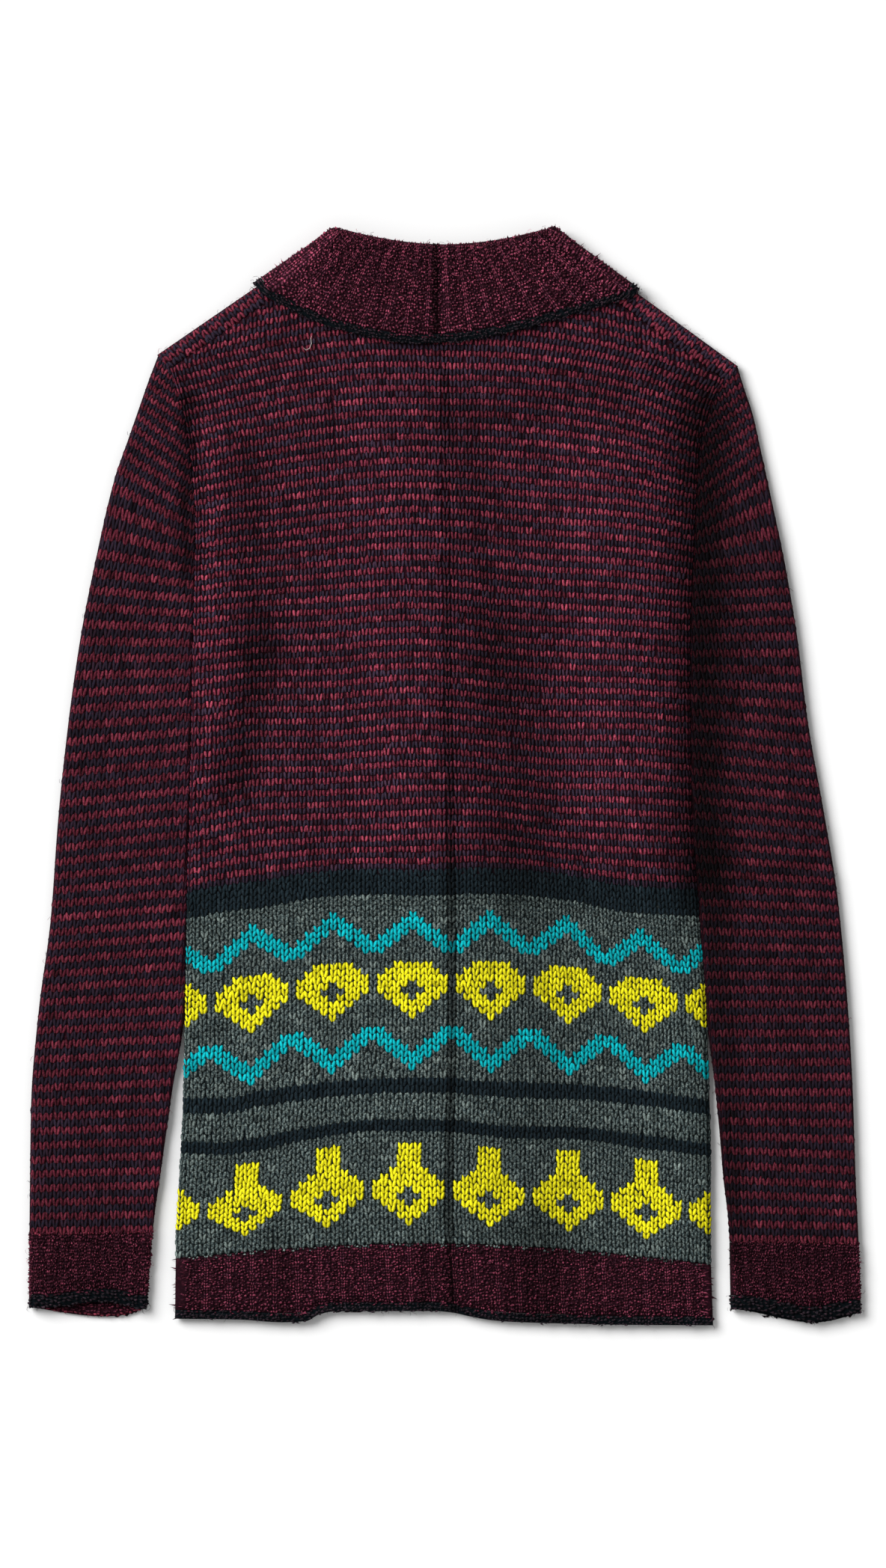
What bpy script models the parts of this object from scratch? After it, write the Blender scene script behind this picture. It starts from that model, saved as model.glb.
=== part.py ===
"""A fair isle cardigan with a shawl collar, laid out flat and face down, so that its back is up.

Sizes are in millimetres until a mesh is made. X runs to the right across the back, Y up to the collar, and
Z up from the surface that the fronts, the lapels and the undersides of the sleeves lie on. Every piece is
a wall of cloth: a grid of points on its outer face, and the same grid moved in by the wall's thickness.
"""

import math

import bpy
import numpy as np

MM = 0.001
WALL = 3.0  # thickness of the knitted cloth
SEAM = 0.4  # gap left between two pieces where they are sewn
LAYER = 3.5  # one layer of cloth with the gap to the layer beneath it
LAID_HEIGHT = 9.0  # top of the back or of a sleeve, which lie in two layers with a little air between
HEM_DROP = 1.0  # how much lower the back lies at its hem
FOLD_REACH = 4.5  # how far the cloth reaches out past the line that it folds over, at the shoulders
ARC_STEPS = 3  # faces round an edge that turns down
FOLD_STEPS = 5  # faces round a full fold

# The body's side edges, which are also the lines of the armholes: y, x at the left, x at the right.
BODY_EDGE = (
    (-375, -181, 180),
    (-305, -180, 178),
    (-254, -177, 178),
    (-208, -175, 177),
    (-157, -174, 175),
    (-91, -173, 170),
    (-14, -171, 165),
    (88, -169, 164),
    (164, -167, 167),
    (215, -170, 170),
    (243, -175, 176),
    (273, -184, 191),
)
UNDERARM_Y = 90  # the side seams and sleeve seams meet here
UNDERARM_RAMP = 40  # length over which the open armhole closes into them

# Each row of a sleeve: y of its inner end, gap there to the body, then how far out and how high its fold is.
SLEEVE = {
    "left": (
        (273, 0, 191.8, 282.2),
        (251, 0, 198, 266),
        (222, 0, 205, 246),
        (194, 0, 213, 223),
        (172, 0, 221, 200),
        (138, 0, 233, 149),
        (91, 0, 244, 93),
        (43, 0, 252, 37),
        (-19, 0, 259, -29),
        (-88, 0, 264, -96),
        (-152, 0, 272, -157),
        (-214, 8, 277, -218),
        (-288, 14.5, 278, -290),
        (-356, 19, 278.5, -355),
    ),
    "right": (
        (266, 0, 195.8, 274.8),
        (246, 0, 200, 261),
        (219, 0, 206, 243),
        (192, 0, 211, 221),
        (171, 0, 216, 198),
        (136, 0, 228, 141),
        (91, 0, 236, 93),
        (44, 0, 243, 37),
        (-16, 0, 254, -25),
        (-76, 0, 263, -81),
        (-157, 0, 270, -157),
        (-208, 4, 273, -208),
        (-264, 8, 275, -268),
        (-310, 12.5, 277, -312),
        (-356, 12, 278.5, -359),
    ),
}
CUFF_TOP = {"left": -305, "right": -311}
CUFF_END = -356
CUFF_EDGE = 9  # width of the black edge on each cuff
CUFF_BOW = 5  # how far the middle of a cuff's end hangs below its corners
CUFF_PEEK = {"left": 3.5, "right": 0}  # how far the under layer shows past the upper one
CUFF_RIB = 9  # width of one rib
CUFF_RIB_HEIGHT = 0.9

# Each shoulder: its tip and the collar's top corner, then how far from the tip the neck seam, the roll and
# the collar's edge cross it, and where that edge is on the back and on the front, a seam's width in.
SHOULDER = {
    "left": {
        "tip": (-191.2, 283),
        "corner": (-73, 364.3),
        "neck": 120,
        "roll": 139.5,
        "roll_top": (143.3, 3.4),
        "edge": 85,
        "back_edge": (-116.5, 325.4),
        "front_edge": (-121, 317),
    },
    "right": {
        "tip": (194.9, 275.4),
        "corner": (70.3, 365.9),
        "neck": 131,
        "roll": 150.4,
        "roll_top": (152.3, 2.3),
        "edge": 88.2,
        "back_edge": (118, 323.8),
        "front_edge": (122, 312),
    },
}
SHOULDER_STRIP = 8  # the fronts come over the shoulder by this much, and are sewn to the back there
NECK_CENTRE_Y = 318
NECK_POWER = 2.2
ROLL_CENTRE_Y = 352
ROLL_POWER = 1.85

# The lower edge of the collar on the back: x, y.
COLLAR_EDGE = (
    (-116.5, 325.4),
    (-77, 307),
    (-50, 300),
    (-21, 295.5),
    (5, 296.5),
    (38, 302),
    (88, 315.5),
    (118, 323.8),
)
# The lapels, under the fronts, the same on both sides: neck seam x, y, roll x, y, edge x, y.
LAPEL = (
    (9, 70, 5.2, 69, 17, 60),
    (22, 118, 12, 120, 46, 104),
    (41, 180, 27, 186, 79, 156),
    (59, 240, 42, 250, 105, 214),
    (75, 298, 58, 313, 120, 272),
)
LAPEL_STATIONS = 8  # sections of the collar along each lapel
COLLAR_FOLD_STATIONS = 7  # and round each shoulder
LAPEL_CLEAR = 10  # the fronts stay raised this far past the lapel's edge
LAPEL_RAMP = 13  # and come down to the floor over this length
BACK_RAMP = 40  # the back bridges the same step more softly
FRONT_EDGE_X = 1.5  # the two front edges lie side by side, twice this apart
NECK_SAG = 2.5  # the back sinks into the open neck of the fronts
NECK_SAG_RAMP = 60
COLLAR_RIBS = 16  # ribs across the back of the collar
COLLAR_RIB_HEIGHT = 0.9
COLLAR_PUFF = 2.0  # the roll stands this much prouder than the flat of the collar
COLLAR_CREASE = 1.4  # depth of the crease at the centre of the collar
COLLAR_CREASE_REACH = 1.5  # its half width in half ribs
STAND_SHARES = (0, 0.5, 1)  # points up the stand
ROLL_STEPS = 6  # faces over the roll
FALL_SHARES = (0, 0.15, 0.35, 0.6, 1)  # points down the fall
PUFF_SHARE = 0.45  # the part of the fall over which the roll flattens
COLLAR_TRIM = 6  # width of the black edge
TRIM_GAP = 0.6  # gap between the black edge and the collar
TRIM_SHOULDERS = 0.2  # rise of the black edge at its two sides, as a share of that at its middle
TRIM_RISE = 0.8  # how proud the black edges stand at their middle

RIB_LINE = (-322, -312, -326)  # y of the top of the hem rib at the left edge, the centre and the right edge
# The hem: share of the way across, y.
HEM = (
    (0, -362),
    (0.12, -364),
    (0.25, -366.5),
    (0.34, -359),
    (0.52, -357.5),
    (0.62, -364),
    (0.8, -368.4),
    (1, -367),
)
HEM_EDGE = 6  # width of the black edge
HEM_RIBS = 24
HEM_RIB_HEIGHT = 0.6
HEM_EDGE_COLUMNS = 37  # faces along the black edge of the hem
FRONT_HEM_SHORT = 2  # the fronts end this much higher than the back

# The crease down the centre of the back: y, x.
CENTRE_CREASE = ((-362, 6.2), (-281, 2.8), (-167, 4.8), (-65, 3.8), (88, 1.2), (241, 0.2), (330, -1))
CREASE_DEPTH = 1.6
CREASE_WIDTH = 3.0
# Soft ridges and troughs of the upper layer: x and y of both ends, half width, height.
FOLDS = (
    (-48, 230, -40, -20, 34, 2.4),
    (118, 210, 124, -70, 26, 2.6),
    (-152, 235, -156, 110, 9, 1.2),
    (-130, 195, -121, 70, 14, -1.8),
    (-121, 70, -140, -10, 13, -2.0),
    (30, 175, 38, -60, 20, -1.6),
    (172, 228, 168, -130, 13, -2.4),
    (-172, 240, -172, 135, 7, -2.2),
    (-212, 190, -232, -100, 24, 1.8),
    (-236, -120, -244, -300, 28, 1.2),
    (214, 150, 226, -40, 22, 1.8),
    (232, -90, 238, -290, 26, 1.4),
    (203, -66, 262, -55, 5, -0.9),
    (-262, -120, -215, -150, 9, -0.6),
    (-110, -100, -100, -300, 30, 1.5),
    (60, -90, 62, -300, 25, -1.4),
)

BURGUNDY = (0.075, 0.012, 0.022)
BLACK = (0.007, 0.010, 0.013)
MARL = (0.055, 0.012, 0.020)


def smooth(t):
    t = np.clip(t, 0.0, 1.0)
    return t * t * (3 - 2 * t)


def lerp(a, b, t):
    return a + (b - a) * t


def read(table, column, at):
    """One column of a table, on a smooth curve through its rows, at a value of its first column."""
    rows = np.array(sorted(table), float)
    key, value = rows[:, 0], rows[:, column]
    rate = np.diff(value) / np.diff(key)
    before, after = rate[:-1], rate[1:]
    turning = before * after <= 0
    middle = 2 * before * after / np.where(turning, 1, before + after)
    slope = np.concatenate([rate[:1], np.where(turning, 0, middle), rate[-1:]])
    at = np.clip(at, key[0], key[-1])
    i = np.clip(np.searchsorted(key, at) - 1, 0, len(key) - 2)
    step = key[i + 1] - key[i]
    t = (at - key[i]) / step
    held = value[i] * (2 * t**3 - 3 * t**2 + 1) + value[i + 1] * (3 * t**2 - 2 * t**3)
    return held + step * (slope[i] * (t**3 - 2 * t**2 + t) + slope[i + 1] * (t**3 - t**2))


def power_curve(x, low, end):
    """y of a neckline that is lowest at the centre and passes through the point end."""
    lowest, power = low
    return lowest + (end[1] - lowest) * np.abs(x / end[0]) ** power


# The shape of the cloth -------------------------------------------------------------------------------


def edge_x(side, y):
    return read(BODY_EDGE, 1 if side == "left" else 2, y)


def sign_of(side):
    return -1 if side == "left" else 1


def shoulder_frame(side):
    """The start of a shoulder's fold line, the direction along it to the neck, and the way out of it."""
    tip, corner = (np.array(SHOULDER[side][k], float) for k in ("tip", "corner"))
    along = (corner - tip) / np.linalg.norm(corner - tip)
    out = np.array([-along[1], along[0]])
    out *= np.sign(out[1])
    return tip - FOLD_REACH * out, along, out


def shoulder_point(side, along, inward):
    start, direction, out = shoulder_frame(side)
    return start + along * direction - inward * out


def lapel_edge_x(y):
    """How far out the lapels reach under the fronts, at a height y."""
    rows = [(row[5], row[4]) for row in LAPEL] + [(316, 124), (326, 130)]
    inside = read(rows, 1, y)
    below = 0.6 * np.minimum(y - rows[0][0], 0)
    above = 3.0 * np.maximum(y - rows[-1][0], 0)
    return inside + below + above


def covered(x, y, ramp):
    """1 where a lapel lies underneath, falling to 0 over the ramp."""
    return smooth((lapel_edge_x(y) + LAPEL_CLEAR + ramp - np.abs(x)) / ramp)


def folds(x, y):
    height = np.zeros(np.broadcast(x, y).shape)
    for x0, y0, x1, y1, width, rise in FOLDS:
        length = math.hypot(x1 - x0, y1 - y0)
        ux, uy = (x1 - x0) / length, (y1 - y0) / length
        along = (x - x0) * ux + (y - y0) * uy
        past = np.maximum(np.maximum(-along, along - length), 0)
        beside = (x - x0) * uy - (y - y0) * ux
        height = height + rise * np.exp(-((beside / width) ** 2) - (past / (1.5 * width)) ** 2)
    return height


def sleeve_top(x, y):
    return LAID_HEIGHT + folds(x, y)


def back_top(x, y):
    """Height of the back's outer face, away from its edges."""
    roll_x = read([(row[3], row[2]) for row in LAPEL] + [(357, 70)], 1, y)
    sag = NECK_SAG * smooth((roll_x - np.abs(x)) / NECK_SAG_RAMP) * smooth((y - 200) / 80)
    crease = np.exp(-(((x - read(CENTRE_CREASE, 1, y)) / CREASE_WIDTH) ** 2)) * smooth((296 - y) / 30)
    drop = HEM_DROP * smooth((-300 - y) / 60)
    raised = LAYER * covered(x, y, BACK_RAMP)
    return LAID_HEIGHT + raised + folds(x, y) - sag - drop - CREASE_DEPTH * crease


def front_under(x, y):
    """Height of the fronts' outer face, which is their underside."""
    return LAYER * covered(x, y, LAPEL_RAMP)


def turn_over(y):
    """How far the upper layer turns down at its side edge, as a share of a right angle."""
    armhole = 0.6 * smooth((268 - y) / 45)
    return 0.1 + armhole + 0.3 * smooth((UNDERARM_Y + UNDERARM_RAMP / 2 - y) / UNDERARM_RAMP)


def turn_under(y):
    """How far the lower layer turns up there: not at all along the armhole."""
    return smooth((UNDERARM_Y + UNDERARM_RAMP / 2 - y) / UNDERARM_RAMP)


def edge_arc(rise, turn):
    """Distances in from an edge that turns by a share of a right angle, and the height lost at each."""
    angle = max(float(turn), 0.02) * math.pi / 2
    radius = rise * (0.5 + 0.5 * float(turn)) * math.pi / 2 / angle
    left = angle * np.linspace(1, 0, ARC_STEPS + 1)
    return radius * (math.sin(angle) - np.sin(left)), radius * (1 - np.cos(left))


# Walls ------------------------------------------------------------------------------------------------


def normals_of(points):
    across = np.gradient(points, axis=1, edge_order=2)
    along = np.gradient(points, axis=0, edge_order=2 if len(points) > 2 else 1)
    normal = np.cross(across, along)
    return normal / np.linalg.norm(normal, axis=2, keepdims=True)


def wall(name, rows, colour, facing=1, relief=None):
    """A closed wall: rows are grids of outer points, and relief raises them over a plain inner face."""
    outer = np.array(rows, float)
    normal = facing * normals_of(outer)
    inner = outer - WALL * normal
    if relief is not None:
        outer = outer + relief[..., None] * normal
    count_r, count_c = outer.shape[:2]
    total = count_r * count_c
    index = np.arange(total).reshape(count_r, count_c)
    faces = []
    for sheet, turned in ((index, facing < 0), (index + total, facing > 0)):
        quads = np.stack([sheet[:-1, :-1], sheet[:-1, 1:], sheet[1:, 1:], sheet[1:, :-1]], axis=-1)
        quads = quads.reshape(-1, 4)
        faces += (quads[:, ::-1] if turned else quads).tolist()
    rim = np.concatenate([index[0], index[1:, -1], index[-1, -2::-1], index[-2:0:-1, 0]])
    ends = np.stack([rim, rim + total, np.roll(rim, -1) + total, np.roll(rim, -1)], axis=-1)
    faces += (ends[:, ::-1] if facing < 0 else ends).tolist()
    mesh = bpy.data.meshes.new(name)
    points = np.concatenate([outer.reshape(-1, 3), inner.reshape(-1, 3)]) * MM
    mesh.from_pydata(points.tolist(), [], faces)
    mesh.shade_smooth()
    mesh.materials.append(cloth_material(name, colour))
    piece = bpy.data.objects.new(name, mesh)
    bpy.context.scene.collection.objects.link(piece)
    return piece


def cloth_material(name, colour):
    material = bpy.data.materials.new(name + "_cloth")
    material.use_nodes = True
    shader = material.node_tree.nodes["Principled BSDF"]
    shader.inputs["Base Color"].default_value = (*colour, 1)
    shader.inputs["Roughness"].default_value = 0.9
    shader.inputs["Metallic"].default_value = 0
    return material


def swell(rows, columns, rise):
    """Relief of a narrow edging, proud along its middle."""
    share = np.sin(np.pi * np.linspace(0, 1, rows))
    return rise * np.repeat(share[:, None], columns, axis=1)


# Back -------------------------------------------------------------------------------------------------

# Rows from the hem rib up to the shoulder seams. The fronts and the sleeves share their ends, so that the
# edges of all of them follow one line.
ROWS = np.concatenate([np.linspace(0, 0.286, 5), np.linspace(0.35, 0.7, 6), np.linspace(0.745, 1, 8)])
GAP_ROW = 4  # the sleeves lie against the body from this row up


def rib_line(share):
    left, centre, right = RIB_LINE
    straight = left + (right - left) * share
    return straight + (centre - (left + right) / 2) * np.sin(np.pi * share)


def back_top_line(share):
    """y of the back's upper edge: a shoulder seam, the neck seam, and the other shoulder seam."""
    inward = SHOULDER_STRIP + SEAM
    ends = {s: shoulder_point(s, 0, inward) for s in SHOULDER}
    necks = {s: shoulder_point(s, SHOULDER[s]["neck"], inward) for s in SHOULDER}
    x = ends["left"][0] + share * (ends["right"][0] - ends["left"][0])
    y = np.zeros_like(x)
    for side in SHOULDER:
        end, neck = ends[side], necks[side]
        mine = x * sign_of(side) >= 0
        on_shoulder = np.abs(x) > abs(neck[0])
        seam = end[1] + (x - end[0]) * (neck[1] - end[1]) / (neck[0] - end[0])
        neckline = power_curve(x, (NECK_CENTRE_Y, NECK_POWER), neck)
        y = np.where(mine, np.where(on_shoulder, seam, neckline), y)
    return y


def edge_y(side, row):
    """y of the side edge at a row of the back."""
    share = np.array([0.0 if side == "left" else 1.0])
    return float((rib_line(share) + row * (back_top_line(share) - rib_line(share)))[0])


def back_row(line, columns):
    """Outer points across the back, where line gives y at each share of the way across."""
    ends = {}
    for side, share in (("left", 0.0), ("right", 1.0)):
        y = float(line(np.array([share]))[0])
        x = float(edge_x(side, y))
        ends[side] = x, edge_arc(back_top(x, y) / 2 - SEAM / 2, turn_over(y))
    (left, (in_left, lost_left)), (right, (in_right, lost_right)) = ends["left"], ends["right"]
    start, stop = left + in_left[-1], right - in_right[-1]
    mid_y = float(line(np.array([0.5]))[0])
    to_crease = read(CENTRE_CREASE, 1, mid_y) - (left + right) / 2
    inner = start + columns * (stop - start) + np.sin(np.pi * columns) * to_crease
    x = np.concatenate([left + in_left, inner, (right - in_right)[::-1]])
    lost = np.concatenate([lost_left, np.zeros(len(columns)), lost_right[::-1]])
    y = line((x - left) / (right - left))
    return np.stack([x, y, back_top(x, y) - lost], axis=1)


def back_columns():
    """Shares of the way across between the two round edges, close together at the crease and the neck."""
    return np.concatenate([
        np.linspace(0, 0.25, 6)[1:],
        np.linspace(0.25, 0.488, 5)[1:],
        [0.5],
        np.linspace(0.512, 0.725, 5),
        np.linspace(0.725, 1, 6)[1:-1],
    ])


def rib_columns(ribs):
    """Three columns a rib, with the relief at each: a groove and the two sides of a flat crest."""
    columns = np.linspace(0, 1, 3 * ribs + 1)[1:-1]
    crest = np.array([0.0, 1.0, 1.0])[np.arange(1, 3 * ribs) % 3]
    return columns, crest


def make_back():
    columns = back_columns()
    rows = []
    for v in ROWS:
        rows.append(back_row(lambda s, v=v: lerp(rib_line(s) + SEAM / 2, back_top_line(s), v), columns))
    wall("back", rows, BURGUNDY)


def hem_line(share):
    return read(HEM, 1, share)


def make_back_hem():
    """The ribbed band under the back, and the black edging round its end."""

    def rib_row(w, columns):
        return back_row(lambda s: lerp(hem_line(s) + HEM_EDGE + SEAM / 2, rib_line(s) - SEAM / 2, w), columns)

    def edge_row(w, columns):
        return back_row(lambda s: hem_line(s) + w * (HEM_EDGE - SEAM / 2), columns)

    steps = np.linspace(0, 1, 3)
    columns, crest = rib_columns(HEM_RIBS)
    rows = [rib_row(w, columns) for w in steps]
    flat = np.zeros(ARC_STEPS + 1)
    relief = HEM_RIB_HEIGHT * np.tile(np.concatenate([flat, crest, flat]), (len(rows), 1))
    wall("back_hem_rib", rows, MARL, relief=relief)
    columns = np.linspace(0, 1, HEM_EDGE_COLUMNS)[1:-1]
    rows = [edge_row(w, columns) for w in steps]
    wall("back_hem_edge", rows, BLACK, relief=swell(len(rows), len(rows[0]), TRIM_RISE))


# Fronts -----------------------------------------------------------------------------------------------


def front_edge_x(side, y):
    """Distance from the centre line of a front's inner edge: straight, then the neck seam."""
    neck = shoulder_point(side, SHOULDER[side]["neck"], SHOULDER_STRIP)
    straight = [(-400, FRONT_EDGE_X), (20, FRONT_EDGE_X)]
    sloping = [(row[1], row[0]) for row in LAPEL]
    return read([*straight, *sloping, (neck[1], abs(neck[0]))], 1, y)


def front_row(outer_end, inner_end):
    """Outer points of one row of a front, from the side to the centre."""
    x, y = outer_end
    away, gained = edge_arc(back_top(x, y) / 2 - SEAM / 2, turn_under(y))
    length = np.linalg.norm(inner_end - outer_end)
    direction = (inner_end - outer_end) / length
    lapel = float(lapel_edge_x((y + inner_end[1]) / 2)) + LAPEL_CLEAR
    for _ in range(3):
        share = np.clip((abs(x) - lapel) / abs(x - inner_end[0]), 0, 1)
        lapel = float(lapel_edge_x(y + share * (inner_end[1] - y))) + LAPEL_CLEAR
    level = abs(direction[0])
    ramp_start = np.clip((abs(x) - lapel - LAPEL_RAMP) / level, away[-1] + 6, length - 20)
    ramp_end = np.clip((abs(x) - lapel) / level, ramp_start + 6, length - 10)
    distances = np.concatenate([
        away,
        np.linspace(away[-1], ramp_start, 4)[1:],
        np.linspace(ramp_end, length, 4),
    ])
    plan = outer_end + distances[:, None] * direction
    raised = np.zeros(len(distances))
    raised[: ARC_STEPS + 1] = gained
    return np.column_stack([plan, front_under(plan[:, 0], plan[:, 1]) + raised])


def fold_rows(side, rows_plan):
    """Rows of a front that go round the shoulder's fold and a seam's width on to the back."""
    _, _, out = shoulder_frame(side)
    x, y = rows_plan[:, 0], rows_plan[:, 1]
    low, high = front_under(x, y), back_top(x, y)
    rows = []
    for angle in np.linspace(math.pi, 0, FOLD_STEPS + 1)[1:]:
        plan = rows_plan + FOLD_REACH * math.sin(angle) * out
        rows.append(np.column_stack([plan, (low + high) / 2 + (high - low) / 2 * math.cos(angle)]))
    plan = rows_plan - SHOULDER_STRIP * out
    rows.append(np.column_stack([plan, back_top(plan[:, 0], plan[:, 1])]))
    return rows


def make_front(side):
    sign = sign_of(side)
    share = np.array([0.0 if side == "left" else 1.0])
    neck = shoulder_point(side, SHOULDER[side]["neck"], SHOULDER_STRIP)
    centre_rib = RIB_LINE[1]
    shoulder_ends = SEAM, SHOULDER[side]["neck"]

    def ends(row):
        """The two ends of a row, from the rib at 0 to the last row before the shoulder at 1."""
        y_out, y_in = edge_y(side, row), lerp(centre_rib, neck[1], row)
        outer_end = np.array([edge_x(side, y_out), y_out])
        return outer_end, np.array([sign * front_edge_x(side, y_in), y_in])

    rows = []
    for row in ROWS:
        outer_end, inner_end = ends(row)
        lift = SEAM / 2 if row == 0 else 0
        if row == 1:
            outer_end, inner_end = (shoulder_point(side, a, SHOULDER_STRIP) for a in shoulder_ends)
        rows.append(front_row(outer_end + (0, lift), inner_end + (0, lift)))
    outer_end, inner_end = (shoulder_point(side, a, 0) for a in shoulder_ends)
    last = front_row(outer_end, inner_end)
    rows.append(last)
    rows += fold_rows(side, last[:, :2])
    wall(f"front_{side}", rows, BURGUNDY, facing=sign)

    side_rib, side_hem = float(rib_line(share)[0]), float(hem_line(share)[0]) + FRONT_HEM_SHORT
    centre_hem = float(hem_line(np.array([0.5]))[0]) + FRONT_HEM_SHORT

    def hem_row(up, w):
        """A row of the hem, at a share w of the way between two heights over the end of the cloth."""
        ys = [lerp(hem + up[0], hem + up[1] if up[1] else rib - SEAM / 2, w)
              for hem, rib in ((side_hem, side_rib), (centre_hem, centre_rib))]
        return front_row(np.array([edge_x(side, ys[0]), ys[0]]), np.array([sign * FRONT_EDGE_X, ys[1]]))

    steps = np.linspace(0, 1, 3)
    rib_rows = [hem_row((HEM_EDGE + SEAM / 2, None), w) for w in steps]
    edge_rows = [hem_row((0, HEM_EDGE - SEAM / 2), w) for w in steps]
    wall(f"front_{side}_hem_rib", rib_rows, MARL, facing=sign)
    wall(f"front_{side}_hem_edge", edge_rows, BLACK, facing=sign)


# Sleeves ----------------------------------------------------------------------------------------------


def sleeve_row(side, inner_y, columns, beneath, end_share=0.0):
    """Outer points round a sleeve, from its seam over the top, round the fold and back underneath."""
    sign = sign_of(side)
    table = SLEEVE[side]
    gap, out_x, out_y = (float(read(table, c, inner_y)) for c in (1, 2, 3))
    inner_end = np.array([edge_x(side, inner_y) + sign * (SEAM + gap), inner_y])
    outer_end = np.array([sign * out_x, out_y])
    length = np.linalg.norm(outer_end - inner_end)
    direction = (outer_end - inner_end) / length
    top = float(sleeve_top(*inner_end))
    far = float(sleeve_top(*outer_end))
    over, lost = edge_arc(top / 2 - SEAM / 2, turn_over(inner_y))
    under, gained = edge_arc(top / 2 - SEAM / 2, turn_under(inner_y))
    reach = min(FOLD_REACH, 0.4 * length)
    fold_line = length - reach
    angles = np.linspace(0, math.pi, FOLD_STEPS + 2)[1:-1]
    top_part = np.concatenate([over, lerp(over[-1], fold_line, columns)])
    low_part = np.concatenate([lerp(fold_line, under[-1], beneath), under[::-1]])
    distance = np.concatenate([top_part, fold_line + reach * np.sin(angles), low_part])
    plan = inner_end + distance[:, None] * direction
    heights = sleeve_top(plan[: len(top_part), 0], plan[: len(top_part), 1])
    heights[: ARC_STEPS + 1] -= lost
    low_heights = np.concatenate([np.zeros(len(beneath)), gained[::-1]])
    z = np.concatenate([heights, far / 2 * (1 + np.cos(angles)), low_heights])
    arc, fold = np.zeros(ARC_STEPS + 1), np.zeros(len(angles))
    hang = end_share * CUFF_BOW * np.sin(np.pi * columns)
    hang_beneath = end_share * (CUFF_BOW + CUFF_PEEK[side]) * np.sin(np.pi * beneath)
    plan[:, 1] -= np.concatenate([arc, hang, fold, hang_beneath, arc])
    return np.column_stack([plan, z])


def make_sleeve(side):
    facing = -sign_of(side)
    columns = np.linspace(0, 1, 6)[1:-1]
    against_body = [edge_y(side, row) for row in ROWS[GAP_ROW:][::-1]]
    below = np.linspace(against_body[-1], CUFF_TOP[side] + SEAM / 2, 5)[1:]
    rows = [sleeve_row(side, y, columns, columns) for y in [*against_body, *below]]
    wall(f"sleeve_{side}", rows, BURGUNDY, facing)

    _, gap, out_x, _ = SLEEVE[side][-1]
    width = out_x - abs(float(edge_x(side, CUFF_END))) - gap
    ribbed, crest = rib_columns(round(width / CUFF_RIB))
    edge_top = CUFF_END + CUFF_EDGE
    arc, fold, under = np.zeros(ARC_STEPS + 1), np.zeros(FOLD_STEPS), np.zeros(len(columns))
    rows = [
        sleeve_row(side, y, ribbed, columns, end_share(side, y))
        for y in np.linspace(CUFF_TOP[side] - SEAM / 2, edge_top + SEAM / 2, 3)
    ]
    relief = CUFF_RIB_HEIGHT * np.tile(np.concatenate([arc, crest, fold, under, arc]), (len(rows), 1))
    wall(f"cuff_{side}", rows, MARL, facing, relief)
    plain = np.linspace(0, 1, 9)[1:-1]
    rows = [
        sleeve_row(side, y, plain, columns, end_share(side, y))
        for y in np.linspace(edge_top - SEAM / 2, CUFF_END, 3)
    ]
    over = np.concatenate([arc, np.ones(len(plain)), fold, under, arc])
    wall(f"cuff_{side}_edge", rows, BLACK, facing, swell(len(rows), len(over), TRIM_RISE) * over)


def end_share(side, y):
    return smooth((CUFF_TOP[side] - y) / (CUFF_TOP[side] - CUFF_END))


# Collar ----------------------------------------------------------------------------------------------

# A station is one section of the collar: the points of its neck seam, roll and edge, the angle that it has
# gone round the shoulder from the back, and the direction out of the shoulder.


def shoulder_marks(side):
    """Where the neck seam, the roll and the edge cross a shoulder: on its fold, inside it, and the roll above."""
    facts = SHOULDER[side]
    along = (facts["neck"] + 2 * SEAM, facts["roll"], facts["edge"])
    on_fold = [shoulder_point(side, a, 0) for a in along]
    inside = [shoulder_point(side, a, SHOULDER_STRIP) for a in along[:2]]
    top_along, top_out = facts["roll_top"]
    return on_fold, inside, shoulder_point(side, top_along, -top_out)


def lapel_stations(side):
    sign, out = sign_of(side), shoulder_frame(side)[2]
    _, inside, _ = shoulder_marks(side)
    rows = [(sign * n, ny, sign * r, ry, sign * e, ey) for n, ny, r, ry, e, ey in LAPEL]
    rows.append((*inside[0], *inside[1], *SHOULDER[side]["front_edge"]))
    keyed = [(i, *row) for i, row in enumerate(rows)]
    stations = []
    for at in np.linspace(0, len(rows) - 1, LAPEL_STATIONS):
        values = np.array([read(keyed, c, at) for c in range(1, 7)], float)
        neck, roll, edge = values[0:2], values[2:4], values[4:6]
        neck[0] = sign * (front_edge_x(side, neck[1]) - 2 * SEAM)
        stations.append((neck, roll, edge, math.pi, out))
    return stations


def fold_stations(side):
    out = shoulder_frame(side)[2]
    (neck, roll, edge), _, top = shoulder_marks(side)
    stations = []
    for angle in np.linspace(math.pi, 0, COLLAR_FOLD_STATIONS):
        stations.append((neck, lerp(roll, top, smooth(1 - 2 * angle / math.pi)), edge, angle, out))
    return stations


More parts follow.
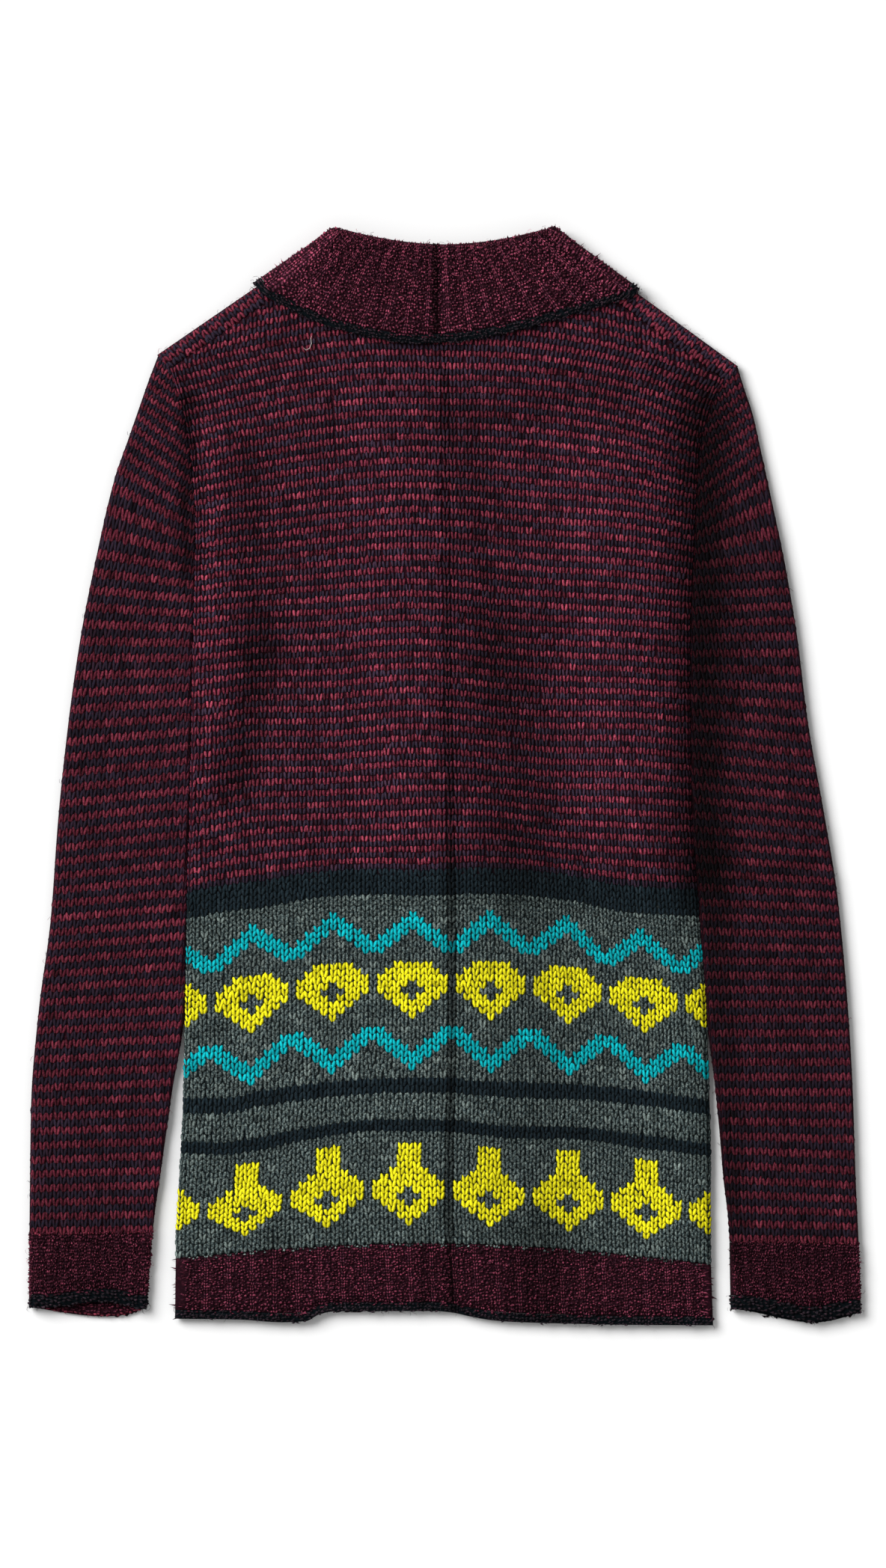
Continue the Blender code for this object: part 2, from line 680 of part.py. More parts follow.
def back_stations():
    """Two stations for each rib, from one shoulder to the other."""
    out = shoulder_frame("left")[2]
    ends = {}
    for side in SHOULDER:
        _, inside, top = shoulder_marks(side)
        ends[side] = inside[0], top, np.array(SHOULDER[side]["back_edge"])
    curves = (NECK_CENTRE_Y + 2 * SEAM, NECK_POWER), (ROLL_CENTRE_Y, ROLL_POWER)
    stations = []
    for share in np.linspace(0, 1, 2 * COLLAR_RIBS + 1):
        neck_x, roll_x, edge_x_here = (lerp(l[0], r[0], share) for l, r in zip(ends["left"], ends["right"]))
        nearest = ends["left" if neck_x < 0 else "right"]
        neck = np.array([neck_x, power_curve(neck_x, curves[0], nearest[0])])
        roll = np.array([roll_x, power_curve(roll_x, curves[1], nearest[1])])
        edge = np.array([edge_x_here, float(read(COLLAR_EDGE, 1, edge_x_here))])
        stations.append((neck, roll, edge, 0.0, out))
    return stations


def on_collar(plan, lift, angle, out):
    """A point lifted off the body's outer face: above the back, below the fronts, and out at the shoulder."""
    x, y = plan
    low, high = float(front_under(x, y)), float(back_top(x, y))
    half = (high - low) / 2 + lift
    moved = np.array([x, y]) + (FOLD_REACH + lift) * math.sin(angle) * out
    return np.array([moved[0], moved[1], (low + high) / 2 + half * math.cos(angle)])


def collar_section(station):
    """Outer points from the neck seam up the stand, over the roll and down the fall to the edge."""
    neck, roll, edge, angle, out = station
    puff = COLLAR_PUFF * max(0.0, math.cos(angle))
    radius = (WALL + LAYER + puff) / 2
    stand = (roll - neck) / np.linalg.norm(roll - neck)
    points = [on_collar(lerp(neck, roll, s), -WALL, angle, out) for s in STAND_SHARES]
    for turn in np.linspace(0, math.pi, ROLL_STEPS + 1)[1:-1]:
        plan = roll + radius * math.sin(turn) * stand
        points.append(on_collar(plan, (LAYER + puff - WALL) / 2 - radius * math.cos(turn), angle, out))
    for s in FALL_SHARES:
        lift = LAYER + puff * (1 - smooth(s / PUFF_SHARE))
        points.append(on_collar(lerp(roll, edge, s), lift, angle, out))
    return points


def trim_section(station):
    _, roll, edge, angle, out = station
    fall = (edge - roll) / np.linalg.norm(edge - roll)
    return [on_collar(edge + d * fall, LAYER, angle, out) for d in np.linspace(TRIM_GAP, COLLAR_TRIM, 3)]


def make_collar():
    left = [*lapel_stations("left"), *fold_stations("left")]
    right = [*fold_stations("right")[::-1], *lapel_stations("right")[::-1]]
    across = back_stations()
    stations = [*left, *across, *right]
    upward = np.array([max(0.0, math.cos(station[3])) for station in stations])

    rib = np.arange(len(stations)) - len(left)
    on_back = (rib >= 0) & (rib < len(across))
    crest = COLLAR_RIB_HEIGHT * np.where(on_back, rib % 2, 0)
    crease = COLLAR_CREASE * np.clip(1 - np.abs(rib + 1 - COLLAR_RIBS) / COLLAR_CREASE_REACH, 0, 1)
    # The ribs start half way round the roll, so that they show on the fall and not on the stand.
    stand_points = len(STAND_SHARES) + ROLL_STEPS // 2
    shares = np.concatenate([np.zeros(stand_points), [0.5], np.ones(ROLL_STEPS // 2 - 2 + len(FALL_SHARES))])
    body = [collar_section(station) for station in stations]
    wall("collar", body, MARL, relief=((crest - crease) * upward)[:, None] * shares)

    rise = TRIM_RISE * upward[:, None] * np.array([TRIM_SHOULDERS, 1, TRIM_SHOULDERS])
    wall("collar_edge", [trim_section(station) for station in stations], BLACK, relief=rise)


def main():
    for old in list(bpy.data.objects):
        bpy.data.objects.remove(old)
    make_back()
    make_back_hem()
    for side in SHOULDER:
        make_front(side)
        make_sleeve(side)
    make_collar()


main()
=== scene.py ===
# %% [markdown]
# # A fair isle cardigan, laid out face down
# The real thing is a chunky wool cardigan. Its back is one knitted panel, striped above and patterned
# below, its sleeves are flat tubes, and its shawl collar is a ribbed strip turned down over the neck. The
# solids that load here give the shape and the place of every piece. This script makes the cloth that is
# seen: a thin shell on each solid's form, and on it every stitch of the knitting as a small bead of yarn.

import math

import bmesh
import bpy
import numpy as np
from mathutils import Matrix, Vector


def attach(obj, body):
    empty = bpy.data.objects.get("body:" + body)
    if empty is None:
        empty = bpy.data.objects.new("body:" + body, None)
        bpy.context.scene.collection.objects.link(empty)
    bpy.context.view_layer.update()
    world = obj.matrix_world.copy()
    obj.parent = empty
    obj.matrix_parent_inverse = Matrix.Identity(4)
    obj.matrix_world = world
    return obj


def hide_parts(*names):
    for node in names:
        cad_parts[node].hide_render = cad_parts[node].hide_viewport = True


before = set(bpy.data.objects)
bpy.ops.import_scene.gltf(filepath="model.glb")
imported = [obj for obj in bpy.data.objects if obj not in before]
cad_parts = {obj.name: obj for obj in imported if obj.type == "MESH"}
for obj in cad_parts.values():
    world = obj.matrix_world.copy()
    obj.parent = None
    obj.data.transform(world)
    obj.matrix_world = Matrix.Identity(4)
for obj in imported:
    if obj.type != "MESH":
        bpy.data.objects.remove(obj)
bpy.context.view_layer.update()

# %% [markdown]
# ## Camera, floor and light
# The photo looks straight down on the cardigan from so far away that nothing gets smaller with distance, so
# an orthographic camera is the honest choice: its scale is simply the height of the view. The light is a
# large soft window to the upper left with a bright room around it, so the cloth keeps soft relief and the
# floor stays white, with a grey shadow only along the lower and the right edges.

# %% Camera
MM = 0.001
PIXEL = 0.5 * MM  # one pixel of the photo on the floor
PHOTO = (1184, 2096)
GARMENT_CENTRE = (594.5, 1038)  # the pixel that lies over the origin
CAMERA_HEIGHT = 2.0


def add_object(name, data):
    """Puts a mesh, a light or a camera into the scene as an object."""
    added = bpy.data.objects.new(name, data)
    bpy.context.scene.collection.objects.link(added)
    return added


camera = add_object("camera", bpy.data.cameras.new("camera"))
camera.data.type = "ORTHO"
camera.data.sensor_fit = "AUTO"
camera.data.ortho_scale = PHOTO[1] * PIXEL
camera.data.lens = 85
camera.location = (
    (PHOTO[0] / 2 - GARMENT_CENTRE[0]) * PIXEL,
    (GARMENT_CENTRE[1] - PHOTO[1] / 2) * PIXEL,
    CAMERA_HEIGHT,
)
camera.data.clip_start, camera.data.clip_end = 0.05, 10
bpy.context.scene.camera = camera

# %% Floor and lights
FLOOR_SIDE = 6.0
FLOOR_GAP = 0.2 * MM  # the floor lies this much lower than the cloth, so the two never flicker
FLOOR_WHITE = (0.635, 0.635, 0.635)
SUN_PLACE = (-1.6, 1.15, 1.75)
SUN_POWER = 5.0
SUN_SOFTNESS = math.radians(38)
ROOM_LIGHT = 0.6


def plain_material(name, colour, roughness):
    material = bpy.data.materials.new(name)
    material.use_nodes = True
    shader = material.node_tree.nodes["Principled BSDF"]
    shader.inputs["Base Color"].default_value = (*colour, 1)
    shader.inputs["Roughness"].default_value = roughness
    return material


def add_light(name, kind, energy, place, aim):
    lamp = add_object(name, bpy.data.lights.new(name, kind))
    lamp.data.energy = energy
    lamp.location = place
    lamp.rotation_mode = "QUATERNION"
    lamp.rotation_quaternion = (Vector(aim) - Vector(place)).to_track_quat("-Z", "Y")
    return lamp


bpy.ops.mesh.primitive_plane_add(size=FLOOR_SIDE, location=(0, 0, -FLOOR_GAP))
floor = bpy.context.object
floor.name = "floor"
floor.data.materials.append(plain_material("white_card", FLOOR_WHITE, 0.9))

window = add_light("window", "SUN", SUN_POWER, SUN_PLACE, (0, 0, 0))
window.data.angle = SUN_SOFTNESS
room = bpy.data.worlds.new("room")
room.use_nodes = True
room.node_tree.nodes["Background"].inputs["Color"].default_value = (1, 1, 1, 1)
room.node_tree.nodes["Background"].inputs["Strength"].default_value = ROOM_LIGHT
bpy.context.scene.world = room
bpy.context.scene.view_settings.view_transform = "Standard"
print("camera and lights are in place")

# %% [markdown]
# ## Small tools
# Sizes below are in millimetres, because that is how a knitter measures, and are turned into metres only
# when a mesh is made. A table with a few measured rows and a smooth curve through them describes each
# outline.

# %% Curves through tables
rng = np.random.default_rng(7)  # everything random is drawn from this, in the order of the cells


def smooth(t):
    """0 below 0, 1 above 1 and an S-shaped rise between."""
    t = np.clip(t, 0.0, 1.0)
    return t * t * (3 - 2 * t)


def lerp(a, b, t):
    return a + (b - a) * t


def read(table, column, at):
    """One column of a table, on a smooth curve through its rows, at a value of its first column."""
    rows = np.array(sorted(table), float)
    key, value = rows[:, 0], rows[:, column]
    rate = np.diff(value) / np.diff(key)
    before, after = rate[:-1], rate[1:]
    turning = before * after <= 0
    middle = 2 * before * after / np.where(turning, 1, before + after)
    slope = np.concatenate([rate[:1], np.where(turning, 0, middle), rate[-1:]])
    at = np.clip(at, key[0], key[-1])
    i = np.clip(np.searchsorted(key, at) - 1, 0, len(key) - 2)
    step = key[i + 1] - key[i]
    t = (at - key[i]) / step
    held = value[i] * (2 * t**3 - 3 * t**2 + 1) + value[i + 1] * (3 * t**2 - 2 * t**3)
    return held + step * (slope[i] * (t**3 - 2 * t**2 + t) + slope[i + 1] * (t**3 - t**2))


def power_curve(x, low, end):
    """y of a neckline that is lowest at the centre and passes through the point end."""
    lowest, power = low
    return lowest + (end[1] - lowest) * np.abs(x / end[0]) ** power


# %% Outlines of the body and the sleeves
WALL = 3.0  # thickness of the knitted cloth
SEAM = 0.4  # gap between two pieces where they are sewn
SEWN = -0.9  # along the sleeves the sewing pulls the two edges over each other
LAYER = 3.5  # one layer of cloth, with the gap beneath it
LAID_HEIGHT = 9.0  # top of the back or of a sleeve
FOLD_REACH = 4.5  # how far cloth reaches out past the line it folds over

# The side edges of the body, which are also the armholes: y, x at the left, x at the right.
BODY_EDGE = (
    (-375, -181, 180), (-305, -180, 178), (-254, -177, 178), (-208, -175, 177), (-157, -174, 175),
    (-91, -173, 170), (-14, -171, 165), (88, -169, 164), (164, -167, 167), (215, -170, 170),
    (243, -175, 176), (273, -184, 191),
)
UNDERARM_Y = 90
UNDERARM_RAMP = 40

# Each row of a sleeve: y of its inner end, the gap there to the body, and x and y of its outer fold.
SLEEVE = {
    "left": (
        (273, 0, 191.8, 282.2), (251, 0, 198, 266), (222, 0, 205, 246), (194, 0, 213, 223),
        (172, 0, 221, 200), (138, 0, 233, 149), (91, 0, 244, 93), (43, 0, 252, 37), (-19, 0, 259, -29),
        (-88, 0, 264, -96), (-152, 0, 272, -157), (-214, 8, 277, -218), (-288, 14.5, 278, -290),
        (-356, 19, 278.5, -355),
    ),
    "right": (
        (266, 0, 195.8, 274.8), (246, 0, 200, 261), (219, 0, 206, 243), (192, 0, 211, 221),
        (171, 0, 216, 198), (136, 0, 228, 141), (91, 0, 236, 93), (44, 0, 243, 37), (-16, 0, 254, -25),
        (-76, 0, 263, -81), (-157, 0, 270, -157), (-208, 4, 273, -208), (-264, 8, 275, -268),
        (-310, 12.5, 277, -312), (-356, 12, 278.5, -359),
    ),
}
CUFF_TOP = {"left": -305, "right": -311}
CUFF_END = -356
CUFF_EDGE = 9
# How far a cuff's mouth hangs past its corners: the upper layer, the lower one, and where it is deepest.
CUFF_MOUTH = {"left": (-4.6, 5.2, 0.36), "right": (6.5, 7.0, 0.62)}

# %% Outlines of the shoulders, the neck and the collar
# Each shoulder: its tip and the collar's top corner, how far from the tip the neck seam, the roll and the
# collar's edge cross it, and where that edge is on the back and on the front, a seam's width in.
SHOULDER = {
    "left": {"tip": (-191.2, 283), "corner": (-73, 364.3), "neck": 120, "roll": 139.5, "edge": 85,
             "roll_top": (143.3, 3.4),
             "back_edge": (-116.5, 325.4), "front_edge": (-121, 317)},
    "right": {"tip": (194.9, 275.4), "corner": (70.3, 365.9), "neck": 131, "roll": 150.4, "edge": 88.2,
              "roll_top": (152.3, 2.3),
              "back_edge": (118, 323.8), "front_edge": (122, 312)},
}
SHOULDER_STRIP = 8  # the fronts come over the shoulder by this much
NECKLINE = (318, 2.2)  # y at the centre, and the power of the curve
ROLL_LINE = (352, 1.85)  # the same for the line where the collar rolls over
COLLAR_EDGE = (  # x and y
    (-116.5, 325.4), (-77, 307), (-50, 300), (-21, 295.5), (5, 296.5), (38, 302), (88, 315.5), (118, 323.8),
)
# The lapels under the fronts: neck seam x, y, roll x, y, edge x, y.
LAPEL = (
    (9, 70, 5.2, 69, 17, 60),
    (22, 118, 12, 120, 46, 104),
    (41, 180, 27, 186, 79, 156),
    (59, 240, 42, 250, 105, 214),
    (75, 298, 58, 313, 120, 272),
)
LAPEL_EDGE_END = ((316, 124), (326, 130))  # y and x of the lapel's edge at the shoulder
LAPEL_TAPER = (0.6, 3.0)  # slopes at which the ground it covers goes on below its point and above its end
FRONT_EDGE_X = 1.5
FRONT_EDGE_Y = (-400, 20)  # from where to where the fronts' inner edges are straight

# %% Outline of the hem
RIB_LINE = (-322, -312, -326)  # y of the top of the hem rib at the left, the centre and the right
# The hem's end, which steps up left of the middle: share of the way across, and y.
HEM = (
    (0, -362.4), (0.12, -363), (0.2, -364.8), (0.245, -364), (0.268, -359.6), (0.3, -357.4), (0.48, -357.3),
    (0.51, -358), (0.545, -360.6), (0.58, -363), (0.62, -364.4), (0.72, -365.6), (0.86, -366.6), (1, -366.8),
)
HEM_EDGE = 6

# %% [markdown]
# ## How the cloth lies
# A pile of functions gives the height of the upper layer at any place: it lies 9 mm up, bridges the lapels
# beneath it, sinks into the open neck, turns down at the sides and has a few soft folds. The crease down
# the middle of the back, where the cardigan was folded in a drawer, and every other fold are placed one
# by one, each with its own ends, width and height, because evenly spaced folds never look like cloth.

# %% Folds and heights
CENTRE_CREASE = ((-362, 6.2), (-281, 2.8), (-167, 4.8), (-65, 3.8), (88, 1.2), (241, 0.2), (330, -1))
CREASE_DEPTH = 1.6
CREASE_WIDTH = 3.0
CREASE_ENDS = (296, 30)  # y of its upper end, and the length over which it fades
HEM_DROP = 1.0
HEM_DROP_FROM = (-300, 60)  # y where the cloth starts to sink to the hem, and over what length
NECK_SAG = 2.5  # how far the cloth sinks into the open neck, over what width, and from what y on
NECK_SAG_RAMP = 60
NECK_SAG_FROM = (200, 80)
ROLL_END = (357, 70)  # y and x of the roll's end at the shoulder
LAPEL_CLEAR = 10  # cloth starts to lie down this far outside a lapel
LAPEL_RAMP = 13  # and lies flat after this much more, on the fronts and on the back
BACK_RAMP = 40
STROKE_FADE = 1.5  # how far past its ends a stroke fades, against its half width
# Soft ridges and troughs of the upper layer: x and y of both ends, half width, height.
FOLDS = (
    (-48, 230, -40, -20, 34, 2.4),
    (118, 210, 124, -70, 26, 2.6),
    (-152, 235, -156, 110, 9, 1.2),
    (-130, 195, -121, 70, 14, -1.8),
    (-121, 70, -140, -10, 13, -2.0),
    (30, 175, 38, -60, 20, -1.6),
    (172, 228, 168, -130, 13, -2.4),
    (-172, 240, -172, 135, 7, -2.2),
    (-212, 190, -232, -100, 24, 1.8),
    (-236, -120, -244, -300, 28, 1.2),
    (214, 150, 226, -40, 22, 1.8),
    (232, -90, 238, -290, 26, 1.4),
    (203, -66, 262, -55, 5, -0.9),
    (-262, -120, -215, -150, 9, -0.6),
    (-110, -100, -100, -300, 30, 1.5),
    (60, -90, 62, -300, 25, -1.4),
)


def edge_x(side, y):
    return read(BODY_EDGE, 1 if side == "left" else 2, y)


def sign_of(side):
    return -1 if side == "left" else 1


def shoulder_frame(side):
    """The start of a shoulder's fold line, the direction along it to the neck, and the way out of it."""
    tip, corner = (np.array(SHOULDER[side][k], float) for k in ("tip", "corner"))
    along = (corner - tip) / np.linalg.norm(corner - tip)
    out = np.array([-along[1], along[0]])
    out *= np.sign(out[1])
    return tip - FOLD_REACH * out, along, out


def shoulder_point(side, along, inward):
    start, direction, out = shoulder_frame(side)
    return start + along * direction - inward * out


def lapel_edge_x(y):
    """How far out the lapels reach under the fronts, at a height y."""
    rows = [*((row[5], row[4]) for row in LAPEL), *LAPEL_EDGE_END]
    below = LAPEL_TAPER[0] * np.minimum(y - rows[0][0], 0)
    above = LAPEL_TAPER[1] * np.maximum(y - rows[-1][0], 0)
    return read(rows, 1, y) + below + above


def covered(x, y, ramp):
    """1 where a lapel lies underneath, falling to 0 over the ramp."""
    return smooth((lapel_edge_x(y) + LAPEL_CLEAR + ramp - np.abs(x)) / ramp)


def strokes(table, x, y):
    """Sum of soft strokes at a place: both ends, half width and height of each."""
    height = np.zeros(np.broadcast(x, y).shape)
    for x0, y0, x1, y1, width, rise in table:
        length = math.hypot(x1 - x0, y1 - y0)
        ux, uy = (x1 - x0) / length, (y1 - y0) / length
        along = (x - x0) * ux + (y - y0) * uy
        past = np.maximum(np.maximum(-along, along - length), 0)
        beside = (x - x0) * uy - (y - y0) * ux
        height = height + rise * np.exp(-((beside / width) ** 2) - (past / (STROKE_FADE * width)) ** 2)
    return height


def sleeve_top(x, y):
    return LAID_HEIGHT + strokes(FOLDS, x, y)


def back_top(x, y):
    """Height of the back's outer face, away from its edges."""
    roll_x = read([*((row[3], row[2]) for row in LAPEL), ROLL_END], 1, y)
    sag = NECK_SAG * smooth((roll_x - np.abs(x)) / NECK_SAG_RAMP)
    sag = sag * smooth((y - NECK_SAG_FROM[0]) / NECK_SAG_FROM[1])
    crease = np.exp(-(((x - read(CENTRE_CREASE, 1, y)) / CREASE_WIDTH) ** 2))
    crease = crease * smooth((CREASE_ENDS[0] - y) / CREASE_ENDS[1])
    drop = HEM_DROP * smooth((HEM_DROP_FROM[0] - y) / HEM_DROP_FROM[1])
    raised = LAYER * covered(x, y, BACK_RAMP)
    return LAID_HEIGHT + raised + strokes(FOLDS, x, y) - sag - drop - CREASE_DEPTH * crease


def front_under(x, y):
    """Height of the fronts' outer face, which is their underside."""
    return LAYER * covered(x, y, LAPEL_RAMP)


# %% Edges that turn down
TURN = (0.1, 0.6, 0.3)  # the share of a right angle at the shoulder, and what armhole and underarm add to it
ARMHOLE_FROM = (268, 45)  # y where the armhole starts to turn down, and over what length


def turn_under(y):
    """How far the lower layer turns up at its side edge: not beside an armhole, and fully below it."""
    return smooth((UNDERARM_Y + UNDERARM_RAMP / 2 - y) / UNDERARM_RAMP)


def turn_over(y):
    """How far the upper layer turns down at its side edge, as a share of a right angle."""
    shoulder, armhole, underarm = TURN
    return shoulder + armhole * smooth((ARMHOLE_FROM[0] - y) / ARMHOLE_FROM[1]) + underarm * turn_under(y)


ARC = 4  # faces round an edge that turns down
FOLD = 8  # faces round a full fold
NARROW_REACH = 0.4  # most of a narrow row's width that its fold may take


def edge_arc(rise, turn):
    """Distances in from an edge that turns by a share of a right angle, and the height lost at each."""
    angle = max(float(turn), 0.02) * math.pi / 2
    radius = rise * (0.5 + 0.5 * float(turn)) * math.pi / 2 / angle
    left = angle * np.linspace(1, 0, ARC + 1)
    return radius * (math.sin(angle) - np.sin(left)), radius * (1 - np.cos(left))


# %% Rows of the body
def rib_line(share):
    left, centre, right = RIB_LINE
    straight = left + (right - left) * share
    return straight + (centre - (left + right) / 2) * np.sin(np.pi * share)


def hem_line(share):
    return read(HEM, 1, share)


def back_top_line(share):
    """y of the back's upper edge: a shoulder seam, the neck seam, and the other shoulder seam."""
    inward = SHOULDER_STRIP + SEAM
    ends = {s: shoulder_point(s, 0, inward) for s in SHOULDER}
    necks = {s: shoulder_point(s, SHOULDER[s]["neck"], inward) for s in SHOULDER}
    x = ends["left"][0] + share * (ends["right"][0] - ends["left"][0])
    y = np.zeros_like(x)
    for side in SHOULDER:
        end, neck = ends[side], necks[side]
        seam = end[1] + (x - end[0]) * (neck[1] - end[1]) / (neck[0] - end[0])
        here = np.where(np.abs(x) > abs(neck[0]), seam, power_curve(x, NECKLINE, neck))
        y = np.where(x * sign_of(side) >= 0, here, y)
    return y


def edge_y(side, row):
    """y of the side edge at a share of the way from the rib to the shoulder."""
    share = np.array([0.0 if side == "left" else 1.0])
    return float((rib_line(share) + row * (back_top_line(share) - rib_line(share)))[0])


def back_row(line, columns):
    """Outer points across the back, where line gives y at each share of the way across."""
    ends = {}
    for side, share in (("left", 0.0), ("right", 1.0)):
        y = float(line(np.array([share]))[0])
        x = float(edge_x(side, y))
        ends[side] = x, edge_arc(back_top(x, y) / 2 - SEAM / 2, turn_over(y))
    (left, (in_left, lost_left)), (right, (in_right, lost_right)) = ends["left"], ends["right"]
    start, stop = left + in_left[-1], right - in_right[-1]
    mid_y = float(line(np.array([0.5]))[0])
    to_crease = read(CENTRE_CREASE, 1, mid_y) - (left + right) / 2
    inner = start + columns * (stop - start) + np.sin(np.pi * columns) * to_crease
    x = np.concatenate([left + in_left, inner, (right - in_right)[::-1]])
    lost = np.concatenate([lost_left, np.zeros(len(columns)), lost_right[::-1]])
    y = line((x - left) / (right - left))
    return np.stack([x, y, back_top(x, y) - lost], axis=1)


def front_edge_x(side, y):
    """Distance from the centre line of a front's inner edge: straight, then the neck seam."""
    neck = shoulder_point(side, SHOULDER[side]["neck"], SHOULDER_STRIP)
    straight = [(y_end, FRONT_EDGE_X) for y_end in FRONT_EDGE_Y]
    sloping = [(row[1], row[0]) for row in LAPEL]
    return read([*straight, *sloping, (neck[1], abs(neck[0]))], 1, y)


def front_row(outer_end, inner_end, count=24):
    """Outer points of one row of a front, from the side to the centre."""
    x, y = outer_end
    away, gained = edge_arc(back_top(x, y) / 2 - SEAM / 2, turn_under(y))
    length = np.linalg.norm(inner_end - outer_end)
    distance = np.concatenate([away, np.linspace(away[-1], length, count)[1:]])
    plan = outer_end + distance[:, None] * (inner_end - outer_end) / length
    raised = np.concatenate([gained, np.zeros(count - 1)])
    return np.column_stack([plan, front_under(plan[:, 0], plan[:, 1]) + raised])


def sleeve_row(side, inner_y, count=14, share=0.0):
    """Outer points round a sleeve, from its seam over the top, round the fold and back underneath."""
    sign, table = sign_of(side), SLEEVE[side]
    gap, out_x, out_y = (float(read(table, c, inner_y)) for c in (1, 2, 3))
    inner_end = np.array([edge_x(side, inner_y) + sign * (SEWN + gap), inner_y])
    outer_end = np.array([sign * out_x, out_y])
    length = np.linalg.norm(outer_end - inner_end)
    top, far = float(sleeve_top(*inner_end)), float(sleeve_top(*outer_end))
    over, lost = edge_arc(top / 2 - SEAM / 2, turn_over(inner_y))
    under, gained = edge_arc(top / 2 - SEAM / 2, turn_under(inner_y))
    reach = min(FOLD_REACH, NARROW_REACH * length)
    fold_line = length - reach
    columns = np.linspace(0, 1, count)[1:-1]
    angles = np.linspace(0, math.pi, FOLD + 2)[1:-1]
    top_part = np.concatenate([over, lerp(over[-1], fold_line, columns)])
    low_part = np.concatenate([lerp(fold_line, under[-1], columns), under[::-1]])
    distance = np.concatenate([top_part, fold_line + reach * np.sin(angles), low_part])
    plan = inner_end + distance[:, None] * (outer_end - inner_end) / length
    heights = sleeve_top(plan[: len(top_part), 0], plan[: len(top_part), 1])
    heights[: ARC + 1] -= lost
    low_heights = np.concatenate([np.zeros(len(columns)), gained[::-1]])
    z = np.concatenate([heights, far / 2 * (1 + np.cos(angles)), low_heights])
    upper, lower, deepest = CUFF_MOUTH[side]
    hang = np.sin(np.pi * columns ** (math.log(0.5) / math.log(deepest)))
    still = np.zeros(ARC + 1)
    sway = [still, upper * hang**2, np.zeros(len(angles)), lower * hang[::-1], still]
    plan[:, 1] -= share * np.concatenate(sway)
    return np.column_stack([plan, z])


def cuff_share(side, y):
    return smooth((CUFF_TOP[side] - y) / (CUFF_TOP[side] - CUFF_END))


# %% Painted shade and light on the wool
# Soft strokes of painted shade in hollows and painted light on ridges: both ends, half width, natural log of
# the tone.
PAINTED_SHADE_STROKES = (
    (172, 238, 172, -60, 18, -1.7),
    (180, -60, 189, -310, 13, -0.9),
    (-172, 252, -172, 138, 6, -1.0),
    (-132, 205, -124, 90, 13, -0.4),
    (-124, 90, -140, -5, 12, -0.7),
    (14, 235, 30, 70, 15, -0.35),
    (42, 80, 50, -60, 24, -0.55),
    (92, 205, 105, -10, 22, 0.28),
    (-52, 225, -40, -30, 30, 0.22),
    (-157, 230, -157, 20, 7, 0.3),
    (150, 262, 60, 250, 16, -0.2),
    (62, -95, 64, -300, 45, -0.22),
    (62, -312, 62, -366, 18, -0.5),
    (-112, -312, -110, -366, 9, -0.3),
    (-12, -312, -14, -366, 5, -0.3),
    (228, 160, 240, -350, 44, -0.33),
    (-236, -300, -236, -360, 30, -0.15),
    (-105, 340, -92, 350, 14, 0.4),
    (-6, 356, -6, 300, 2.6, -1.3),
    (-1, 352, -1, 304, 3, 0.3),
    (208, -66, 258, -56, 4, -0.35),
    (-226, 120, -240, -60, 14, -0.12),
    (-238, -120, -246, -300, 40, -0.13),
)
# Painted shade along the centre crease: its half width, its tone high up and low down, and where that
# changes.
CREASE_SHADE = (3.8, -0.3, -1.0)
SHADE_CHANGE = (160, 240)
SHADE_ENDS = (300, 60)


def painted_shade(x, y):
    """Painted shade and light at a place: the wool is made darker in hollows and along the crease, and
    lighter on ridges.
    """
    width, high, low = CREASE_SHADE
    beside = (x - read(CENTRE_CREASE, 1, y)) / width
    line = lerp(high, low, smooth((SHADE_CHANGE[0] - y) / SHADE_CHANGE[1]))
    line = line * smooth((SHADE_ENDS[0] - y) / SHADE_ENDS[1])
    return np.exp(strokes(PAINTED_SHADE_STROKES, x, y) + line * np.exp(-(beside**2)))


print("row at the chest spans", round(float(edge_x("right", 100) - edge_x("left", 100)), 1), "mm")

# %% [markdown]
# ## Yarns
# A knitter would lay out eight balls of yarn. Each is a main shade and a second shade that is spun in,
# because no wool is one flat colour. Both travel on the stitches as colour attributes, so a single material
# can dress all of the knitting: a fine noise in object space decides where the second shade shows, and a
# finer one makes the fuzzy relief. Sheen stands for the short fibres that catch the light at grazing
# angles.

# %% Yarn colours
def shade(code):
    """A colour written as six hexadecimal digits, made linear."""
    values = [int(code[i : i + 2], 16) / 255 for i in (0, 2, 4)]
    return np.array([v / 12.92 if v <= 0.04045 else ((v + 0.055) / 1.055) ** 2.4 for v in values])


YARNS = {
    "burgundy": (shade("501b29"), shade("7d3241")),
    "navy": (shade("221e2a"), shade("36222f")),
    "black": (shade("10191e"), shade("1d272c")),
    "grey": (shade("242e30"), shade("68736f")),
    "teal": (shade("0b9fa6"), shade("09838c")),
    "yellow": (shade("d8d11c"), shade("b3ac14")),
    "marl": (shade("2f141f"), shade("652b3b")),
    "edging": (shade("1c191e"), shade("34252d")),
}
YARN_NAMES = list(YARNS)
YARN_TABLE = np.array([[*YARNS[n][0], *YARNS[n][1]] for n in YARN_NAMES])


def number_of(yarn):
    """The yarn's row in the table."""
    return YARN_NAMES.index(yarn)


print("yarns:", ", ".join(YARN_NAMES))


# %% The wool material
def set_inputs(node, **values):
    """Sets sockets by name; an underscore stands for a space."""
    for socket, value in values.items():
        node.inputs[socket.replace("_", " ")].default_value = value


FUZZ_SCALE = 2600
FUZZ_DEPTH = 0.4 * MM
SHEEN = 0.008


